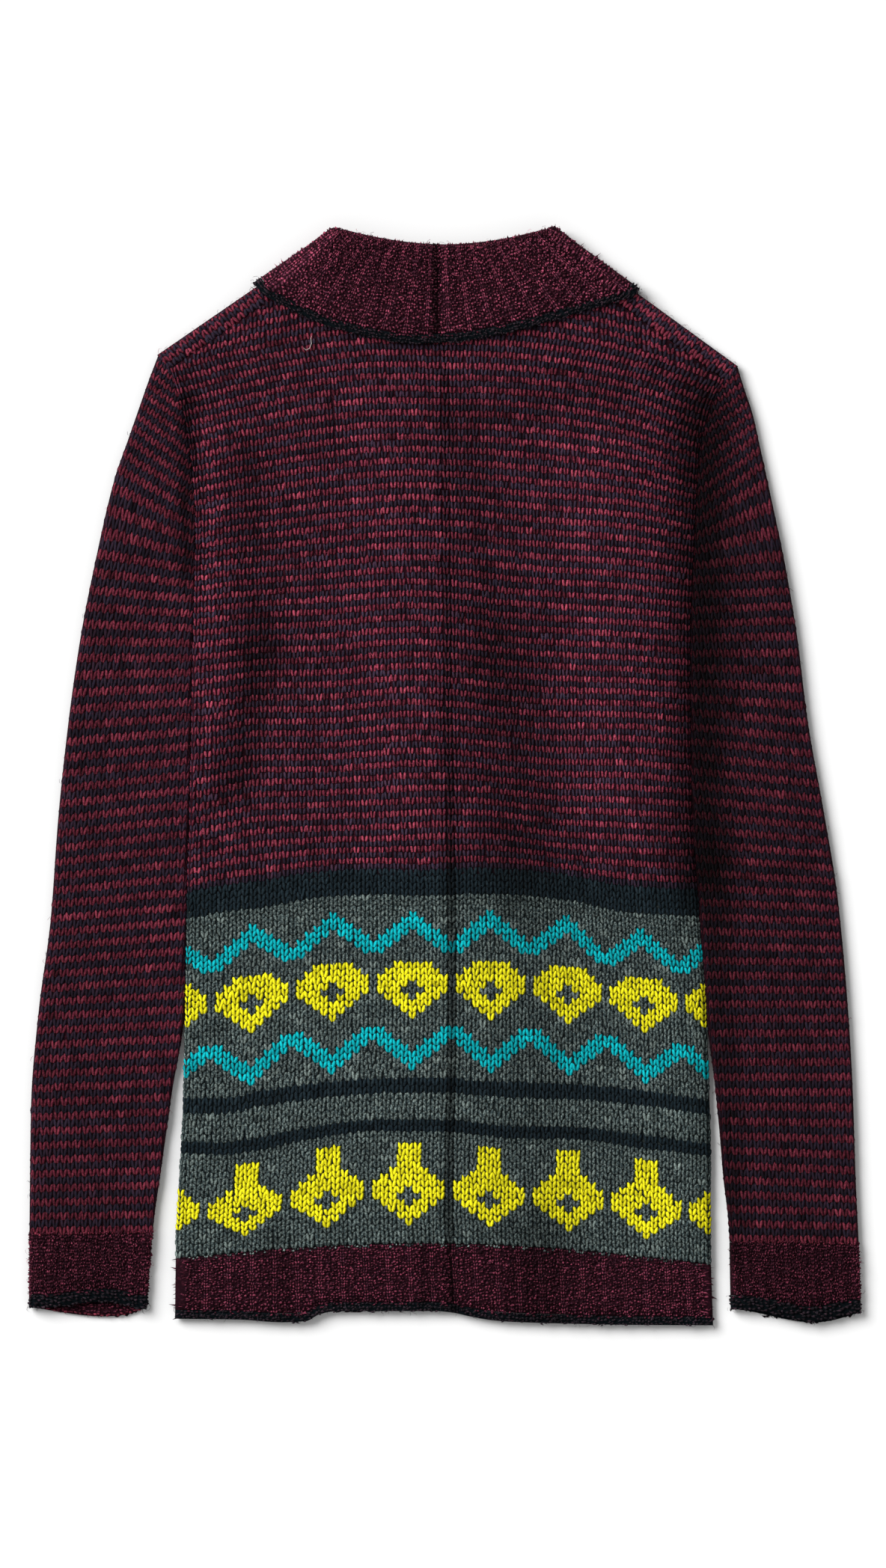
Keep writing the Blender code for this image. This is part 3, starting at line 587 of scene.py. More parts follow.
def wool(name, fleck_scale, fleck_from, fleck_to, bump):
    """Wool coloured by the attributes yarn and ply, mixed by a fine noise, with a fuzzy relief."""
    material = bpy.data.materials.new(name)
    material.use_nodes = True
    nodes, links = material.node_tree.nodes, material.node_tree.links
    shader = nodes["Principled BSDF"]
    place = nodes.new("ShaderNodeTexCoord")
    yarn, ply = (nodes.new("ShaderNodeAttribute") for _ in range(2))
    yarn.attribute_name, ply.attribute_name = "yarn", "ply"
    fleck = nodes.new("ShaderNodeTexNoise")
    set_inputs(fleck, Scale=fleck_scale, Detail=3, Roughness=0.65)
    limits = nodes.new("ShaderNodeMapRange")
    set_inputs(limits, From_Min=fleck_from, From_Max=fleck_to)
    mix = nodes.new("ShaderNodeMix")
    mix.data_type = "RGBA"
    fibre = nodes.new("ShaderNodeTexNoise")
    set_inputs(fibre, Scale=FUZZ_SCALE, Detail=2)
    relief = nodes.new("ShaderNodeBump")
    set_inputs(relief, Strength=bump, Distance=FUZZ_DEPTH)
    links.new(place.outputs["Object"], fleck.inputs["Vector"])
    links.new(place.outputs["Object"], fibre.inputs["Vector"])
    links.new(fleck.outputs["Fac"], limits.inputs["Value"])
    links.new(limits.outputs["Result"], mix.inputs["Factor"])
    links.new(yarn.outputs["Color"], mix.inputs["A"])
    links.new(ply.outputs["Color"], mix.inputs["B"])
    links.new(mix.outputs["Result"], shader.inputs["Base Color"])
    links.new(fibre.outputs["Fac"], relief.inputs["Height"])
    links.new(relief.outputs["Normal"], shader.inputs["Normal"])
    set_inputs(shader, Roughness=0.95, Specular_IOR_Level=0.03, Sheen_Weight=SHEEN, Sheen_Roughness=0.45)
    return material


WOOL = wool("wool_yarn", 800, 0.44, 0.66, 0.6)
MARL_WOOL = wool("marl_yarn", 420, 0.46, 0.62, 0.6)
CLOTH = wool("wool_cloth", 500, 0.5, 0.8, 0.5)

# %% [markdown]
# ## One stitch
# A knit stitch shows as a V: two leaf-shaped lengths of yarn that come out of the stitch below and lean
# apart. Its back shows as a purl bump, a short bar of yarn with its ends tucked in. Each length is a bead
# with a three-sided section, crest up, pointed at both ends. Smooth shading rounds it, so six to eighteen
# triangles a bead are enough where there are ten thousand stitches. Both are drawn in a cell one stitch
# wide, one row high and 1 deep.

# %% Beads
CREST = (math.pi / 2, math.pi * 7 / 6, math.pi * 11 / 6)  # angles of the crest and the two low corners


def bead(bm, path, widths, heights):
    """Adds a closed bead along a path; its rings have one crest and two low corners."""
    path = np.array(path, float)
    up = np.array([0, 0, 1.0])
    rings = []
    for before, here, after, width, height in zip(path, path[1:], path[2:], widths, heights):
        side = np.cross(after - before, up)
        side /= np.linalg.norm(side)
        ring = [here + side * math.cos(a) * width + up * math.sin(a) * height for a in CREST]
        rings.append([bm.verts.new(p) for p in ring])
    first, last = bm.verts.new(path[0]), bm.verts.new(path[-1])
    for k in range(3):
        n = (k + 1) % 3
        bm.faces.new((first, rings[0][n], rings[0][k]))
        bm.faces.new((last, rings[-1][k], rings[-1][n]))
        for low, high in zip(rings, rings[1:]):
            bm.faces.new((low[k], low[n], high[n], high[k]))


def template(name, beads):
    """An object outside the scene with one or more beads, each a path with its widths and heights."""
    bm = bmesh.new()
    for path, widths, heights in beads:
        bead(bm, path, widths, heights)
    bmesh.ops.recalc_face_normals(bm, faces=bm.faces)
    mesh = bpy.data.meshes.new(name)
    bm.to_mesh(mesh)
    bm.free()
    mesh.shade_smooth()
    return bpy.data.objects.new(name, mesh)


# %% Stitch templates
def two_legs(name, leg, widths, heights):
    """A knit stitch: a leg and its mirror image."""
    other = [(-x, y, z) for x, y, z in leg]
    return template(name, [(leg, widths, heights), (other, widths, heights)])


LEG = ((0.08, -0.68, 0.4), (0.14, -0.44, 0.8), (0.25, 0.04, 0.95), (0.33, 0.5, 0.7), (0.39, 0.76, 0.25))
LEG_WIDTH, LEG_HEIGHT = (0.21, 0.27, 0.23), (0.34, 0.45, 0.34)
KNIT = two_legs("knit_stitch", LEG, LEG_WIDTH, LEG_HEIGHT)
SIMPLE = two_legs("simple_stitch", LEG[::2], LEG_WIDTH[1:2], LEG_HEIGHT[1:2])
# Where the back is pulled long, the two legs of a stitch stand nearly upright.
POST = ((0.16, -0.64, 0.4), (0.19, -0.42, 0.8), (0.25, 0.04, 0.95), (0.29, 0.48, 0.7), (0.31, 0.7, 0.25))
UPRIGHT = two_legs("upright_stitch", POST, (0.19, 0.22, 0.19), LEG_HEIGHT)
BAR = ((-0.6, -0.14, 0.3), (-0.26, 0.06, 0.95), (0.26, 0.06, 0.95), (0.6, -0.14, 0.3))
PURL = template("purl_stitch", [(BAR, (0.36, 0.36), (0.42, 0.42))])
BUMP = ((-0.62, -0.12, 0.3), (0, 0.06, 1.0), (0.62, -0.12, 0.3))
FINE = template("fine_stitch", [(BUMP, (0.42,), (0.42,))])
HAIR = ((-0.05, -0.5, -0.1), (0.09, -0.2, 0.3), (-0.06, 0.2, 0.42), (0.12, 0.5, 0.25))
FIBRE = template("fibre", [(HAIR, (0.022, 0.018), (0.022, 0.018))])
print("faces of a knit stitch:", len(KNIT.data.polygons))

# %% [markdown]
# ## Laying the stitches
# Tens of thousands of stitches come from one small Geometry Nodes tree. Its input is a cloud of points, one
# for each stitch, which carry the direction of the column, the way out of the cloth, the size of the cell
# and the two shades. The tree turns a stitch to those directions, leans it a little at random, puts it on
# its point and makes the result real. The modifier is then replaced by the mesh it made.

# %% The stitch tree
def stitch_tree():
    tree = bpy.data.node_groups.new("lay_stitches", "GeometryNodeTree")
    kinds = {"Cells": "Geometry", "Stitch": "Object", "Yarn": "Material", "Lean": "Float", "Seed": "Int"}
    sockets = {name: tree.interface.new_socket(name, in_out="INPUT", socket_type="NodeSocket" + kind)
               for name, kind in kinds.items()}
    tree.interface.new_socket("Cloth", in_out="OUTPUT", socket_type="NodeSocketGeometry")
    nodes, links = tree.nodes, tree.links
    given, result = nodes.new("NodeGroupInput"), nodes.new("NodeGroupOutput")

    def stored(name):
        node = nodes.new("GeometryNodeInputNamedAttribute")
        node.data_type = "FLOAT_VECTOR"
        set_inputs(node, Name=name)
        return node.outputs["Attribute"]

    axes = nodes.new("FunctionNodeAxesToRotation")
    axes.primary_axis, axes.secondary_axis = "Z", "Y"
    links.new(stored("up"), axes.inputs["Primary Axis"])
    links.new(stored("along"), axes.inputs["Secondary Axis"])
    negative = nodes.new("ShaderNodeMath")
    negative.operation = "MULTIPLY"
    negative.inputs[1].default_value = -1
    links.new(given.outputs["Lean"], negative.inputs[0])
    lean = nodes.new("FunctionNodeRandomValue")
    lean.data_type = "FLOAT_VECTOR"
    links.new(negative.outputs[0], lean.inputs["Min"])
    links.new(given.outputs["Lean"], lean.inputs["Max"])
    links.new(given.outputs["Seed"], lean.inputs["Seed"])
    euler = nodes.new("FunctionNodeEulerToRotation")
    links.new(lean.outputs["Value"], euler.inputs[0])
    turned = nodes.new("FunctionNodeRotateRotation")
    turned.rotation_space = "LOCAL"
    links.new(axes.outputs["Rotation"], turned.inputs["Rotation"])
    links.new(euler.outputs["Rotation"], turned.inputs["Rotate By"])
    stitch = nodes.new("GeometryNodeObjectInfo")
    links.new(given.outputs["Stitch"], stitch.inputs["Object"])
    laid = nodes.new("GeometryNodeInstanceOnPoints")
    links.new(given.outputs["Cells"], laid.inputs["Points"])
    links.new(stitch.outputs["Geometry"], laid.inputs["Instance"])
    links.new(turned.outputs["Rotation"], laid.inputs["Rotation"])
    links.new(stored("cell"), laid.inputs["Scale"])
    real = nodes.new("GeometryNodeRealizeInstances")
    dressed = nodes.new("GeometryNodeSetMaterial")
    links.new(laid.outputs["Instances"], real.inputs["Geometry"])
    links.new(real.outputs["Geometry"], dressed.inputs["Geometry"])
    links.new(given.outputs["Yarn"], dressed.inputs["Material"])
    links.new(dressed.outputs["Geometry"], result.inputs["Cloth"])
    return tree, {name: socket.identifier for name, socket in sockets.items()}


STITCH_TREE, STITCH_INPUTS = stitch_tree()


def made_real(cloud, name, settings):
    """The plain mesh object that a cloud of points becomes under the stitch tree."""
    modifier = cloud.modifiers.new("stitches", "NODES")
    modifier.node_group = STITCH_TREE
    for key, value in settings.items():
        modifier[STITCH_INPUTS[key]] = value
    bpy.context.view_layer.update()
    mesh = bpy.data.meshes.new_from_object(cloud.evaluated_get(bpy.context.evaluated_depsgraph_get()))
    cloud.modifiers.clear()
    points = cloud.data
    bpy.data.objects.remove(cloud)
    bpy.data.meshes.remove(points)
    for extra in ("up", "along", "cell"):
        if extra in mesh.attributes:
            mesh.attributes.remove(mesh.attributes[extra])
    mesh.name = name
    return add_object(name, mesh)


# %% Cells of knitting
KNIT_DEPTH = 1.9  # from the cloth's shell up to the crests of the stitches
DROP_BELOW = 0.35  # a cell cut down to less than this share of its size is left out
NOTHING = 1e-9  # keeps a division by an empty cell's size from failing


class Cells:
    """Stitch cells from a grid of corners: rows of the grid are rows of knitting."""

    def __init__(self, corners, facing, width, height):
        p = np.asarray(corners, float)
        self.centre = (p[:-1, :-1] + p[1:, :-1] + p[:-1, 1:] + p[1:, 1:]) / 4
        across = (p[:-1, 1:] - p[:-1, :-1] + p[1:, 1:] - p[1:, :-1]) / 2
        along = (p[1:, :-1] - p[:-1, :-1] + p[1:, 1:] - p[:-1, 1:]) / 2
        self.width = np.linalg.norm(across, axis=2)
        self.height = np.linalg.norm(along, axis=2)
        normal = facing * np.cross(across, along)
        size = np.linalg.norm(normal, axis=2, keepdims=True)
        self.normal = normal / np.maximum(size, NOTHING)
        self.along = along / np.maximum(self.height, NOTHING)[..., None]
        self.kept = (self.width > DROP_BELOW * width) & (self.height > DROP_BELOW * height)
        self.rows, self.columns = self.width.shape
        self.rise = np.zeros((self.rows, self.columns))

    def all_in(self, yarn):
        """Yarn numbers for knitting that is all in one yarn."""
        return np.full((self.rows, self.columns), number_of(yarn))


# %% Clouds of stitches
def write_attribute(mesh, name, kind, field, values):
    attribute = mesh.attributes.new(name, kind, "POINT")
    attribute.data.foreach_set(field, values.astype(np.float32).ravel())


def write_yarns(mesh, both):
    """Stores the two shades at each point, as columns of both, in the attributes that the wool reads."""
    opaque = np.ones(len(both))
    write_attribute(mesh, "yarn", "FLOAT_COLOR", "color", np.column_stack([both[:, :3], opaque]))
    write_attribute(mesh, "ply", "FLOAT_COLOR", "color", np.column_stack([both[:, 3:], opaque]))


PRESSED = 0.6 * MM  # below this height the knitting is pressed flat, because it lies on the floor


def press(mesh):
    """Squashes what would go through the floor."""
    at = np.empty(len(mesh.vertices) * 3, np.float32)
    mesh.vertices.foreach_get("co", at)
    z = at[2::3]
    z[:] = np.where(z < PRESSED, PRESSED * np.exp(np.minimum(z / PRESSED, 1) - 1), z)
    mesh.vertices.foreach_set("co", at)
    mesh.update()


def triangles_of(mesh):
    return sum(len(face.vertices) - 2 for face in mesh.polygons)


def place_beads(name, at, up, along, size, both, stitch, material, lean):
    """A cloud of points under the stitch tree, made real."""
    mesh = bpy.data.meshes.new(name + "_cells")
    mesh.from_pydata((at * MM).tolist(), [], [])
    for key, vectors in (("up", up), ("along", along), ("cell", size * MM)):
        write_attribute(mesh, key, "FLOAT_VECTOR", "vector", vectors)
    write_yarns(mesh, both)
    settings = {"Stitch": stitch, "Yarn": material, "Lean": lean, "Seed": sum(map(ord, name))}
    piece = made_real(add_object(name + "_cells", mesh), name, settings)
    press(piece.data)
    print(f"{name}: {len(at)} placed, {triangles_of(piece.data)} triangles")
    return piece


# %% Pieces of knitting
STITCH_RISE = KNIT_DEPTH / 1.4  # the template's crest is 1.4 high
SIZE_LIMITS = (0.6, 1.5)  # of a stitch against its cell
TONE_LIMITS = (0.35, 1.8)
ROW_TONE = 0.05  # how much one row differs in tone from the next
SWAPPED = 0.03  # least share of stitches whose second shade is the main one
HAIRS = {}  # for each piece of knitting, the places where a loose fibre stands on it


def lay(name, cells, colours, stitch, material, keep=None, lean=0.05, spread=0.05, flecks=0.12,
        tone=1.0, stagger=0.0, hairs=0.1):
    """A piece of knitting: one stitch for each kept cell, coloured by its number in the table of yarns.

    It is uneven by hand: lean turns the stitches, spread moves and sizes them, flecks varies their tone,
    stagger shifts whole columns, and hairs is the share of stitches with a loose fibre.
    """
    kept = cells.kept if keep is None else cells.kept & keep
    count = int(kept.sum())
    normal, along = cells.normal[kept], cells.along[kept]
    sunk = KNIT_DEPTH - cells.rise[kept]
    wander = rng.normal(0, spread, (count, 2))
    wander[:, 1] += (stagger * rng.uniform(-0.5, 0.5, cells.columns))[np.nonzero(kept)[1]]
    wander *= np.stack([cells.width[kept], cells.height[kept]], axis=1)
    across = np.cross(along, normal)
    centre = cells.centre[kept] - normal * sunk[:, None] + across * wander[:, :1] + along * wander[:, 1:]
    size = np.stack([cells.width[kept], cells.height[kept], np.full(count, STITCH_RISE)], axis=1)
    size *= rng.normal(1, spread, (count, 3)).clip(*SIZE_LIMITS)
    row_tone = rng.normal(1, ROW_TONE, cells.rows)[np.nonzero(kept)[0]]
    own_tone = rng.normal(1, flecks, count).clip(*TONE_LIMITS)
    # painted shade and light: the strokes and the crease line darken or lighten each stitch's shades
    shaded = tone * row_tone * painted_shade(centre[:, 0], centre[:, 1]) * own_tone
    both = YARN_TABLE[colours[kept]] * shaded[:, None]
    swapped = rng.random(count) < 2 * flecks**2 + SWAPPED
    both[swapped] = np.roll(both[swapped], 3, axis=1)
    loose = rng.random(count) < hairs
    HAIRS[name] = centre[loose] + normal[loose] * KNIT_DEPTH, normal[loose], both[loose]
    return place_beads(name, centre, normal, along, size, both, stitch, material, lean)


# %% Loose fibres
FIBRE_LENGTH = (2.4, 6.2)
FIBRE_TONE = (0.9, 2.6)  # painted highlight: a loose fibre's shades are made this much paler than its yarn's, for the light it catches
# painted light: a little brightness added to every loose fibre's shades
FIBRE_PAINTED_GLOW = 0.004


def grow_fibres(name, sources):
    """Loose fibres that stand on the knitting, each curved and turned its own way."""
    at, up, both = (np.concatenate([HAIRS[s][k] for s in sources]) for k in range(3))
    count = len(at)
    turn = rng.normal(0, 1, (count, 3))
    along = np.cross(up, turn)
    along /= np.linalg.norm(along, axis=1, keepdims=True)
    long = rng.uniform(*FIBRE_LENGTH, (count, 1)) * np.ones((1, 3))
    pale = both * rng.uniform(*FIBRE_TONE, (count, 1)) + FIBRE_PAINTED_GLOW
    return place_beads(name, at, up, along, long, pale, FIBRE, CLOTH, 0.5)


# %% [markdown]
# ## The cloth under the stitches
# Between the stitches one looks into the depth of the cloth, and the inside shows at the neck and the
# cuffs. So every piece also has a shell: a closed wall as thick as the yarn that lies behind the stitches,
# on the same rows as the solid that it stands for. It is coloured along its length like the stitches above
# it, only darker: painted shade for the depth between and under the stitches.

# %% Shells
SHELL = 1.1  # thickness of the shell
SHELL_DEPTH = KNIT_DEPTH - 0.3  # how far its outer face lies behind the crests, so stitches are sunk in it
SIDEWAYS = (0.3, 0.3, 1)  # the sides stay where the solid's are, so sewn edges meet
# painted shade: the shells' yarns are darkened to this share, for the shade between and under the stitches
SHELL_SHADE = 0.35


def normals_of(points):
    across = np.gradient(points, axis=1, edge_order=2)
    along = np.gradient(points, axis=0, edge_order=2 if len(points) > 2 else 1)
    normal = np.cross(across, along)
    return normal / np.maximum(np.linalg.norm(normal, axis=2, keepdims=True), NOTHING)


def plain(yarn):
    """What a shell in one yarn is coloured by."""
    return lambda points: number_of(yarn)


def shell(name, rows, facing, colour_of):
    """A closed thin wall behind the outer points; colour_of gives yarn numbers for its points."""
    outer = np.array(rows, float)
    normal = facing * normals_of(outer) * SIDEWAYS
    top, low = outer - SHELL_DEPTH * normal, outer - (SHELL_DEPTH + SHELL) * normal
    grid = outer.shape[:2]
    total = grid[0] * grid[1]
    index = np.arange(total).reshape(grid)
    faces = []
    for sheet, turned in ((index, facing < 0), (index + total, facing > 0)):
        corners = sheet[:-1, :-1], sheet[:-1, 1:], sheet[1:, 1:], sheet[1:, :-1]
        quads = np.stack(corners, axis=-1).reshape(-1, 4)
        faces += (quads[:, ::-1] if turned else quads).tolist()
    rim = np.concatenate([index[0], index[1:, -1], index[-1, -2::-1], index[-2:0:-1, 0]])
    ends = np.stack([rim, rim + total, np.roll(rim, -1) + total, np.roll(rim, -1)], axis=-1)
    faces += (ends[:, ::-1] if facing < 0 else ends).tolist()
    mesh = bpy.data.meshes.new(name)
    mesh.from_pydata((np.concatenate([top.reshape(-1, 3), low.reshape(-1, 3)]) * MM).tolist(), [], faces)
    mesh.shade_smooth()
    mesh.materials.append(CLOTH)
    both = YARN_TABLE[np.broadcast_to(colour_of(outer), grid).ravel()] * SHELL_SHADE
    # the shells carry the same painted shade and light as the stitches
    write_yarns(mesh, np.tile(both * painted_shade(outer[..., 0], outer[..., 1]).reshape(-1, 1), (2, 1)))
    return add_object(name, mesh)


# %% [markdown]
# ## The pattern
# Fair isle patterns are worked from charts: a grid with one square for each stitch. The motif here repeats
# every 10 stitches. A lozenge with an open heart sits between two zigzags, and below it the same lozenge
# stands on a stem. Charts are typed as text, the way a knitter would copy them, and the bands list the rows
# upwards.

# %% Charts
LOZENGE = (
    "..YYYYY...",
    ".YYYYYYY..",
    "YYYYYYYYY.",
    "YYYY.YYYY.",
    "YYY...YYY.",
    ".YYY.YYY..",
    "..YYYYY...",
    "...YYY....",
    "....Y.....",
)
STEM = ("...YYY....",) * 4
ZIGZAG = (
    "....T.....",
    "...TTT....",
    "..TTTTT...",
    ".TTT.TTT..",
    "TTT...TTT.",
    "TT.....TTT",
    "T.......TT",
)
LETTERS = {"Y": "yellow", "T": "teal", ".": "grey"}
CHART_CENTRE = 4  # column of a motif's middle in a chart
REPEAT = 10
FIRST_MOTIF = 8  # the wale under the middle of the first motif
WALES = 67

# %% Rows from the rib to the neck
# Bands from the rib upwards: what it is, how many rows, and its height in millimetres.
BANDS = (
    ("grey", 3, 12.5), ("stem", 13, 54.5), ("grey", 2, 7.5), ("black", 2, 8), ("grey", 4, 18),
    ("black", 2, 10), ("grey", 1, 5.5), ("low_zigzag", 7, 29), ("grey", 1, 5.5), ("lozenge", 9, 37.5),
    ("grey", 1, 6), ("zigzag", 7, 28), ("grey", 3, 10.5), ("black", 4, 17.5),
)
STRIPE_ROW = 4.03
TOP_Y = 350


def body_rows():
    """Heights of the row boundaries at the centre of the back, and a chart row for each row."""
    heights, charts = [0.0], []
    patterns = {
        "stem": tuple(reversed(STEM + LOZENGE)),
        "lozenge": tuple(reversed(LOZENGE)),
        "zigzag": tuple(reversed(ZIGZAG)),
        "low_zigzag": ZIGZAG,
    }
    for kind, count, height in BANDS:
        for r in range(count):
            heights.append(heights[-1] + height / count)
            charts.append(patterns[kind][r] if kind in patterns else kind)
    stripes = ("burgundy", "navy")
    while RIB_LINE[1] + heights[-1] < TOP_Y:
        charts.append(stripes[len(charts) % 2])
        heights.append(heights[-1] + STRIPE_ROW)
    return np.array(heights), charts


HEIGHTS, CHART_ROWS = body_rows()


def chart_colours(count):
    """Yarn numbers for each row and wale of a body panel."""
    colours = np.zeros((len(CHART_ROWS), count), int)
    column = (np.arange(count) - FIRST_MOTIF + CHART_CENTRE) % REPEAT
    for r, row in enumerate(CHART_ROWS):
        colours[r] = number_of(row) if row in YARNS else [number_of(LETTERS[row[c]]) for c in column]
    return colours


def body_colour_at(rise):
    """Yarn of the shell at a height above the rib; marl stands for the stripes seen from inside."""
    row = np.clip(np.searchsorted(HEIGHTS, rise) - 1, 0, len(CHART_ROWS) - 1)
    inside = {"black": "black", "burgundy": "marl", "navy": "marl"}
    return np.array([number_of(inside.get(r, "grey")) for r in CHART_ROWS])[row]


print("rows of knitting from the rib to the neck:", len(CHART_ROWS))

# %% [markdown]
# ## The back
# The rows of the back are not straight: the panel was pulled into place by its shoulders, so every row
# hangs lower at the sides than in the middle. Each row is a line across the panel, and where it would pass
# the shoulder or the neck it is held at the seam, so the knitting ends there in cut-off columns, as a seam
# does.

# %% Rows of the back
# How much lower than the middle a row lies at shares of the way across, for rows at heights above the rib.
ROW_SHARES = (0, 0.08, 0.14, 0.26, 0.38, 0.44, 0.5, 0.56, 0.62, 0.74, 0.86, 1)
ROW_DROPS = (
    (78, 14.5, 15.5, 13, 4, -0.5, 0, 0, 2, 4.5, 5, 10.5, 16.5),
    (105, 13.5, 14, 9.5, 3.5, 0.5, 0, 0, 2, 3, 4.5, 8, 15),
    (241, 16, 10.5, 8.5, 1.5, -0.5, 0.5, 0, -1, -0.5, 3, 11.5, 14),
    (281, 16, 9, 5, 3, 2, 1, 0, 0, 1.5, 7, 9, 11.5),
    (346, 11.5, 7, 4, 4, 0.5, -1, 0, 1.5, 4, 7, 7, 11),
    (416, 10, 7, 5, 3.5, 0, -1, 0, 2, 5, 8, 10, 14),
    (491, 18, 12, 9.5, 4, 0, -1, 0, 1.5, 4, 7.5, 10.5, 19),
    (563, 23, 15.5, 11, 3, -1, -1, 0, 0, 1, 5, 13, 30),
    (640, 30, 21, 15, 5, -0.5, -1, 0, 0.5, 2, 8, 19, 37),
)
RIB_FOLLOWED = 45  # up to this height above the rib the rows still follow it


def row_drop(rise, share):
    """How far a row hangs below its middle; the lowest rows follow the rib."""
    drops = [(at, float(read(ROW_DROPS, c + 1, rise))) for c, at in enumerate(ROW_SHARES)]
    rib = rib_line(np.array([0.5])) - rib_line(share)
    return lerp(rib, read(drops, 1, share), smooth(rise / RIB_FOLLOWED))


def body_line(rise):
    """The line of a row of the back at a height above the rib, held at the upper edge."""

    def line(share):
        y = RIB_LINE[1] + rise - row_drop(rise, share)
        return np.minimum(y, back_top_line(share) - SEAM)

    return line


def inner_columns(count):
    """Shares across a row for that many points, without its two ends."""
    return np.linspace(0, 1, count)[1:-1]


def stitch_starts(columns, with_turns=True):
    """Which points of a row of the back bound a stitch: its ends and the columns between its turns."""
    first, last = (ARC, ARC + len(columns) + 2) if with_turns else (ARC + 1, ARC + len(columns) + 1)
    return [0, *range(first, last), 2 * ARC + len(columns) + 1]


def between(low, high, share):
    """The line that is a share of the way from a low line to a high one."""
    return lambda across: lerp(low(across), high(across), share)


# %% The back's stitches
BODY_WALE = 5.3
SIDE_RISE = 0.9  # the columns along the side edges stand this much proud, as a seam does

back_columns = inner_columns(WALES - 1)
back_picked = stitch_starts(back_columns)
back_corners = np.array([back_row(body_line(h), back_columns)[back_picked] for h in HEIGHTS])
back_cells = Cells(back_corners, 1, BODY_WALE, STRIPE_ROW)
back_cells.rise[:, [0, -1]] = SIDE_RISE
back_colours = chart_colours(WALES)
print("back cells:", back_cells.rows, "rows of", back_cells.columns)

band_rows = sum(count for _, count, _ in BANDS)
half_way = band_rows + (back_cells.rows - band_rows) // 2
row_number = np.arange(back_cells.rows)[:, None] + np.zeros(back_cells.columns, int)
in_bands, above = row_number < band_rows, row_number >= half_way
pulled = {"flecks": 0.24, "spread": 0.07}  # the stripes are brushed and pulled, so they are less even
back_bands = lay("back_fair_isle", back_cells, back_colours, KNIT, WOOL, in_bands)
back_low = lay("back_stripes_low", back_cells, back_colours, UPRIGHT, WOOL, ~in_bands & ~above, **pulled)
back_high = lay("back_stripes_high", back_cells, back_colours, UPRIGHT, WOOL, above, **pulled)

# %% The back's shell
SHELL_START = 0.0005  # it starts a hair above the rib's line, so the two never share a face
BOW = (10, 180)  # the bands hang this much lower at the sides, and half the back's width
BACK_GRID = (84, 47)  # rows and columns of points


def back_colour(points):
    bow = BOW[0] * np.abs(points[..., 0] / BOW[1]) ** 2
    return body_colour_at(points[..., 1] - RIB_LINE[1] + bow)


back_lines = [between(rib_line, back_top_line, v) for v in np.linspace(SHELL_START, 1, BACK_GRID[0])]
back_points = [back_row(line, inner_columns(BACK_GRID[1])) for line in back_lines]
back = shell("back_cloth", back_points, 1, back_colour)

# %% [markdown]
# ## Ribs and edges
# The hem, the cuffs and the collar are ribbed in a burgundy and black marl, worn with its purl side out:
# thin sunken lines of knit stitches stand between wider fields of purl bumps. Each ends in a black edging,
# a fuzzy cord of a few rows.

# %% Rib cells
RIB_KNIT = 0.22  # share of a rib that is its sunken knit column
KNIT_RISE, PURL_RISE = -0.3, 0.35  # how far these stand above the face of the cloth
FINE_CELL = 2  # width and height of a cell of ribbing, roughly
MIXED = 0.45  # share of stitches in a row where two yarns meet that are in the other yarn


def rib_columns(ribs, purls=3):
    """Boundaries of the stitches across a ribbed piece, and whether each stitch is knit."""
    widths, knit = [], []
    for _ in range(ribs):
        widths += [RIB_KNIT] + [(1 - RIB_KNIT) / purls] * purls
        knit += [True] + [False] * purls
    edges = np.concatenate([[0], np.cumsum(widths)]) / ribs
    return edges, np.array(knit)


def lay_rib(name, cells, knit, tone=1.0, mixed_row=None, mixed="grey"):
    """Ribbing in marl: sunken knit columns between purl fields."""
    colours = cells.all_in("marl")
    if mixed_row is not None:
        colours[mixed_row, rng.random(cells.columns) < MIXED] = number_of(mixed)
    knit = np.broadcast_to(knit, colours.shape)
    cells.rise = np.where(knit, KNIT_RISE, PURL_RISE)
    return [
        lay(name + "_purl", cells, colours, FINE, MARL_WOOL, ~knit, lean=0.35, spread=0.22, flecks=0.46,
            tone=1.15 * tone, stagger=0.7, hairs=0.05),
        lay(name + "_knit", cells, colours, SIMPLE, MARL_WOOL, knit, lean=0.08, spread=0.06, flecks=0.3,
            tone=1.45 * tone, stagger=0.3, hairs=0.02),
    ]


# %% Edging
EDGING_CELL = 1.6
EDGING_RISE = 0.9  # how far the middle of the cord stands above its sides
LUMPS = (0.3, 0.45)  # how far the last row stands out, and how unevenly
FRAYED, FRAY_REACH = 0.3, 1.8  # share of the last row's stitches with a fray, and how far one reaches


def lay_edging(name, corners, facing, last):
    """A fuzzy black cord: uneven bumps, mixed with the rib's yarn at its start and ragged at its last row.

    last is the number of that row, 0 or -1.
    """
    cells = Cells(corners, facing, EDGING_CELL, EDGING_CELL)
    colours = cells.all_in("edging")
    colours[-1 - last, rng.random(cells.columns) < MIXED] = number_of("marl")
    middle = np.sin(np.pi * (np.arange(cells.rows) + 0.5) / cells.rows)
    cells.rise = EDGING_RISE * middle[:, None] + np.zeros(cells.columns)
    outward = cells.along[last] * (1 if last else -1)
    lumps = np.convolve(rng.normal(0, 1, cells.columns + 2), (0.5, 1, 0.5), "valid")
    cells.centre[last] += outward * (LUMPS[0] + LUMPS[1] * lumps)[:, None]
    edging = lay(name, cells, colours, FINE, WOOL, lean=0.4, spread=0.2, flecks=0.25, hairs=0.16)
    frayed = rng.random(cells.columns) < FRAYED
    reach = rng.uniform(0, FRAY_REACH, (int(frayed.sum()), 1))
    fray = cells.centre[last][frayed] + outward[frayed] * reach, cells.normal[last][frayed]
    both = YARN_TABLE[np.full(len(reach), number_of("edging"))]
    HAIRS[name] = tuple(np.concatenate(pair) for pair in zip(HAIRS[name], (*fray, both)))
    return edging


